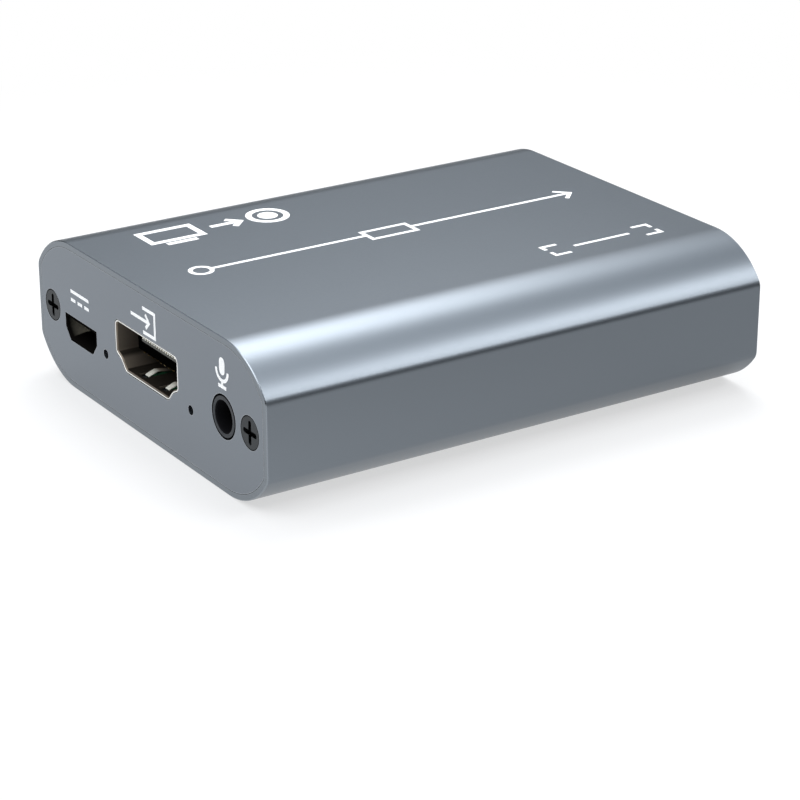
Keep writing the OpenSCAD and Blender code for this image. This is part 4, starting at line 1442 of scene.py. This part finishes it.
@dataclass
class Print:
    """Generic signs, printed on the end plates and on the top.

    A place on an end plate is x as seen from that end and z, and a place on the top is x and y.
    """

    sleeve: Sleeve
    current_at: Point = (-16.7, 12.4)
    signal_in_at: Point = (0.0, 15.1)
    sound_in_at: Point = (18.4, 14.7)
    data_at: Point = (-14.7, 15.6)
    sound_out_at: Point = (-1.4, 15.1)
    signal_out_at: Point = (13.6, 15.1)
    record_at: Point = (-15.0, -16.8)
    path_at: Point = (-1.8, 0.2)
    full_frame_at: Point = (15.2, 20.2)

    def on_end(self, end: End, at: Point) -> Matrix:
        """From a sign's plane to a place on an end plate."""
        upright = Matrix.Rotation(math.radians(90), 4, "X")
        return end.place() @ Matrix.Translation((at[0], -HALF_LEN, at[1])) @ upright

    def on_top(self, at: Point) -> Matrix:
        """From a sign's plane to a place on the top, read from the right side of the box."""
        return Matrix.Translation((*at, self.sleeve.height)) @ Matrix.Rotation(math.radians(90), 4, "Z")

    def dress(self) -> None:
        """Prints every sign in its place."""
        placed = (
            (self.direct_current(), self.on_end(End.INPUT, self.current_at)),
            (self.signal_in(), self.on_end(End.INPUT, self.signal_in_at)),
            (self.sound_in(), self.on_end(End.INPUT, self.sound_in_at)),
            (self.data(), self.on_end(End.OUTPUT, self.data_at)),
            (self.sound_out(), self.on_end(End.OUTPUT, self.sound_out_at)),
            (self.signal_out(), self.on_end(End.OUTPUT, self.signal_out_at)),
            (self.record(), self.on_top(self.record_at)),
            (self.path(), self.on_top(self.path_at)),
            (self.full_frame(), self.on_top(self.full_frame_at)),
        )
        for sign, place in placed:
            finished_piece(sign.name, sign.mesh(place))

    def direct_current(self) -> Sign:
        """A line over three dashes.

        Returns:
            The sign.
        """
        sign = Sign("sign_direct_current").line((-2.4, 0.55), (2.4, 0.55))
        for x in (-1.8, 0.0, 1.8):
            sign.line((x - 0.6, -0.55), (x + 0.6, -0.55))
        return sign

    def signal_in(self) -> Sign:
        """An arrow into a bracket."""
        sign = Sign("sign_signal_in").arrow((-3.2, 0), (1.3, 0), 0.85)
        return sign.line((-0.2, 1.5), (2.7, 1.5), (2.7, -1.5), (-0.2, -1.5))

    def sound_in(self) -> Sign:
        """A microphone on its stand.

        Returns:
            The sign.
        """
        sign = Sign("sign_sound_in").line((0, 1.2), (0, 0.3), width=1.2)
        sign.disc((0, 1.2), 0.6).disc((0, 0.3), 0.6)
        return sign.bow((0, 0.3), 1.3, 180).line((0, -1.0), (0, -1.7)).line((-0.9, -1.7), (0.9, -1.7))

    def data(self) -> Sign:
        """Two arrows, one each way."""
        sign = Sign("sign_data").arrow((-2.6, 0.65), (2.6, 0.65), 0.75)
        return sign.arrow((2.6, -0.75), (-2.6, -0.75), 0.75)

    def sound_out(self) -> Sign:
        """Headphones.

        Returns:
            The sign.
        """
        sign = Sign("sign_sound_out").bow((0, -0.2), 1.6, 0)
        for x in (-1.55, 1.55):
            sign.line((x, -0.1), (x, -1.5), width=0.8)
        return sign

    def signal_out(self) -> Sign:
        """An arrow out of a bracket."""
        sign = Sign("sign_signal_out").arrow((-1.2, 0), (3.3, 0), 0.85)
        return sign.line((0.2, 1.5), (-2.7, 1.5), (-2.7, -1.5), (0.2, -1.5))

    def record(self) -> Sign:
        """A screen on its foot, an arrow and the round sign of a recording.

        Returns:
            The sign.
        """
        sign = Sign("sign_record", stroke=0.8).rectangle((-9.6, -1.2), (-2.6, 2.4))
        sign.line((-8.2, -2.7), (-4.0, -2.7)).arrow((-0.6, 0.2), (3.6, 0.2), 1.4)
        return sign.ring((7.6, 0.2), 2.4).disc((7.6, 0.2), 1.3)

    def path(self) -> Sign:
        """The signal's way from its source through the box.

        Returns:
            The sign.
        """
        sign = Sign("sign_signal_path", stroke=0.55).ring((-26.4, 0), 1.3)
        sign.line((-25.1, 0), (-3.2, 0)).line((3.2, 0), (25.4, 0)).arrow((25.0, 0), (27.8, 0), 1.6)
        return sign.rectangle((-3.2, -1.3), (3.2, 1.3))

    def full_frame(self) -> Sign:
        """The four corners of a frame round a line.

        Returns:
            The sign.
        """
        sign = Sign("sign_full_frame", stroke=0.5)
        for x in (-8.0, 8.0):
            for y in (-1.6, 1.6):
                sign.line((x * 0.72, y), (x, y), (x, y * 0.3))
        return sign.line((-4.2, 0), (4.2, 0))


@dataclass(frozen=True)
class Lamp:
    """A soft rectangular light that faces the box. Its place and size are in millimetres."""

    name: str
    middle: tuple[float, float, float]
    along: tuple[float, float, float]
    width: float
    length: float
    watts: float

    def hang(self) -> None:
        """Puts the light into the scene, with its length in the given direction."""
        light = bpy.data.lights.new(self.name, "AREA")
        light.shape = "RECTANGLE"
        light.size = self.width * MM
        light.size_y = self.length * MM
        light.energy = self.watts
        lamp = new_object(self.name, light)
        lamp.location = Vector(self.middle) * MM
        away = lamp.location.normalized()
        side = Vector(self.along).cross(away).normalized()
        lamp.rotation_mode = "QUATERNION"
        lamp.rotation_quaternion = Matrix((side, away.cross(side), away)).transposed().to_quaternion()


@dataclass
class Studio:
    """A white floor, soft light and the camera that took the photograph."""

    LAMPS: ClassVar[tuple[Lamp, ...]] = (
        Lamp("left_strip", (-207, 140, 407), (0, 1, 0), 260, 270, 1.17),
        Lamp("right_strip", (305, 320, 390), (-0.4, 1, 0), 130, 420, 0.93),
        Lamp("front_fill", (-60, -340, 300), (1, 0, 0), 200, 260, 0.45),
    )

    focal_px: float = 2626.3
    image_px: float = 800.0
    sensor_mm: float = 36.0
    camera_mm: tuple[float, float, float] = (256.0, -167.0, 123.3)
    azimuth: float = 56.77
    elevation: float = 22.43
    clip_m: Point = (0.01, 100.0)
    floor_m: float = 4.0
    paper: float = 0.8
    whiteness: float = 0.6
    shadow_mm: float = 45.0
    clear_mm: float = 150.0
    evenness: float = 0.8
    far_floor: float = 0.66
    floor_fade_mm: Point = (-30.0, 90.0)
    dark_rise: float = 0.17
    pale_rise: float = 0.9
    zenith: float = 1.57
    near_room: float = 1.05
    far_room: float = 0.2
    room_fade: Point = (0.46, 0.76)

    def camera(self) -> None:
        """Makes the camera and sets it."""
        lens = bpy.data.cameras.new("camera")
        lens.sensor_width = self.sensor_mm
        lens.lens = self.focal_px / self.image_px * self.sensor_mm
        lens.clip_start, lens.clip_end = self.clip_m
        camera = new_object("camera", lens)
        turn, rise = math.radians(self.azimuth), math.radians(self.elevation)
        back = Vector((math.sin(turn) * math.cos(rise), -math.cos(turn) * math.cos(rise), math.sin(rise)))
        camera.location = Vector(self.camera_mm) * MM
        camera.rotation_mode = "QUATERNION"
        camera.rotation_quaternion = (-back).to_track_quat("-Z", "Y")
        bpy.context.scene.camera = camera

    def paper_finish(self) -> bpy.types.Material:
        """The floor's finish: white to the camera with a soft shadow, and in reflections an even pale grey.

        Returns:
            The material.
        """
        material = bpy.data.materials.new("white_paper_floor")
        tree = empty_tree(material)
        place = add_node(tree, "ShaderNodeTexCoord").outputs["Object"]
        rays = add_node(tree, "ShaderNodeLightPath").outputs
        paper = add_node(tree, "ShaderNodeBsdfDiffuse", {"Color": linear(Ink.FLOOR, self.paper)}).outputs[0]
        away = add_node(tree, "ShaderNodeVectorMath", {0: place}, operation="LENGTH").outputs["Value"]
        white = add_node(tree, "ShaderNodeMapRange", {
            "Value": away, "From Min": self.shadow_mm * MM, "From Max": self.clear_mm * MM,
            "To Min": self.whiteness, "To Max": 1.0,
        }, interpolation_type="SMOOTHSTEP").outputs["Result"]
        seen = add_node(tree, "ShaderNodeMath", {0: rays["Is Camera Ray"], 1: white},
                        operation="MULTIPLY").outputs["Value"]
        glow = add_node(tree, "ShaderNodeEmission", {"Color": linear(Ink.FLOOR)}).outputs[0]
        shown = add_node(tree, "ShaderNodeMixShader", {0: seen, 1: paper, 2: glow}).outputs[0]
        across = add_node(tree, "ShaderNodeVectorMath", {0: place, 1: (1.0, 1.0, 0.0)},
                          operation="DOT_PRODUCT").outputs["Value"]
        near, far = (place_mm * MM for place_mm in self.floor_fade_mm)
        grey = add_node(tree, "ShaderNodeMapRange", {
            "Value": across, "From Min": near, "From Max": far, "To Min": 1.0, "To Max": self.far_floor,
        }, interpolation_type="SMOOTHSTEP").outputs["Result"]
        mirrored = add_node(tree, "ShaderNodeEmission", {"Color": grey}).outputs[0]
        soft = add_node(tree, "ShaderNodeMixShader", {0: self.evenness, 1: paper, 2: mirrored}).outputs[0]
        both = add_node(tree, "ShaderNodeMixShader", {0: rays["Is Glossy Ray"], 1: shown, 2: soft})
        add_node(tree, "ShaderNodeOutputMaterial", {"Surface": both.outputs[0]})
        return material

    def floor(self) -> None:
        """Lays the white floor."""
        shape = bmesh.new()
        bmesh.ops.create_grid(shape, x_segments=1, y_segments=1, size=self.floor_m)
        mesh = to_mesh("floor", shape)
        mesh.materials.append(self.paper_finish())
        new_object("floor", mesh)

    def world(self) -> None:
        """Makes the surroundings: white to the camera, and for light a room with a pale ceiling."""
        world = bpy.data.worlds.new("studio")
        bpy.context.scene.world = world
        tree = empty_tree(world)
        towards = add_node(tree, "ShaderNodeTexCoord").outputs["Generated"]
        parts = add_node(tree, "ShaderNodeSeparateXYZ", {"Vector": towards}).outputs
        ceiling = add_node(tree, "ShaderNodeMapRange", {
            "Value": parts["Z"], "From Min": self.dark_rise, "From Max": self.pale_rise,
            "To Max": self.zenith,
        }).outputs["Result"]
        near, far = self.room_fade
        fade = add_node(tree, "ShaderNodeMapRange", {
            "Value": parts["Y"], "From Min": near, "From Max": far,
            "To Min": self.near_room, "To Max": self.far_room,
        }, interpolation_type="SMOOTHSTEP").outputs["Result"]
        light = add_node(tree, "ShaderNodeMath", {0: ceiling, 1: fade},
                         operation="MULTIPLY").outputs["Value"]
        seen = add_node(tree, "ShaderNodeLightPath").outputs["Is Camera Ray"]
        room, white = (add_node(tree, "ShaderNodeBackground", {"Color": linear(ink), "Strength": strength})
                       for ink, strength in ((Ink.ROOM, light), (Ink.FLOOR, 1.0)))
        shown = add_node(tree, "ShaderNodeMixShader", {0: seen, 1: room.outputs[0], 2: white.outputs[0]})
        add_node(tree, "ShaderNodeOutputWorld", {"Surface": shown.outputs[0]})

    def build(self) -> None:
        """Builds the studio."""
        self.camera()
        self.floor()
        self.world()
        for lamp in self.LAMPS:
            lamp.hang()
        bpy.context.scene.view_settings.view_transform = "Standard"


def main() -> None:
    """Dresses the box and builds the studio."""
    logging.basicConfig(level=logging.INFO)
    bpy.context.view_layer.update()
    rows = CopyRow()
    sleeve = Sleeve()
    sleeve.dress()
    for part in (EndPlates(), Screws(rows, sleeve), Sockets(rows), Jacks(), BoardParts(), Print(sleeve)):
        part.dress()
    Studio().build()


if __name__ == "__main__":
    main()
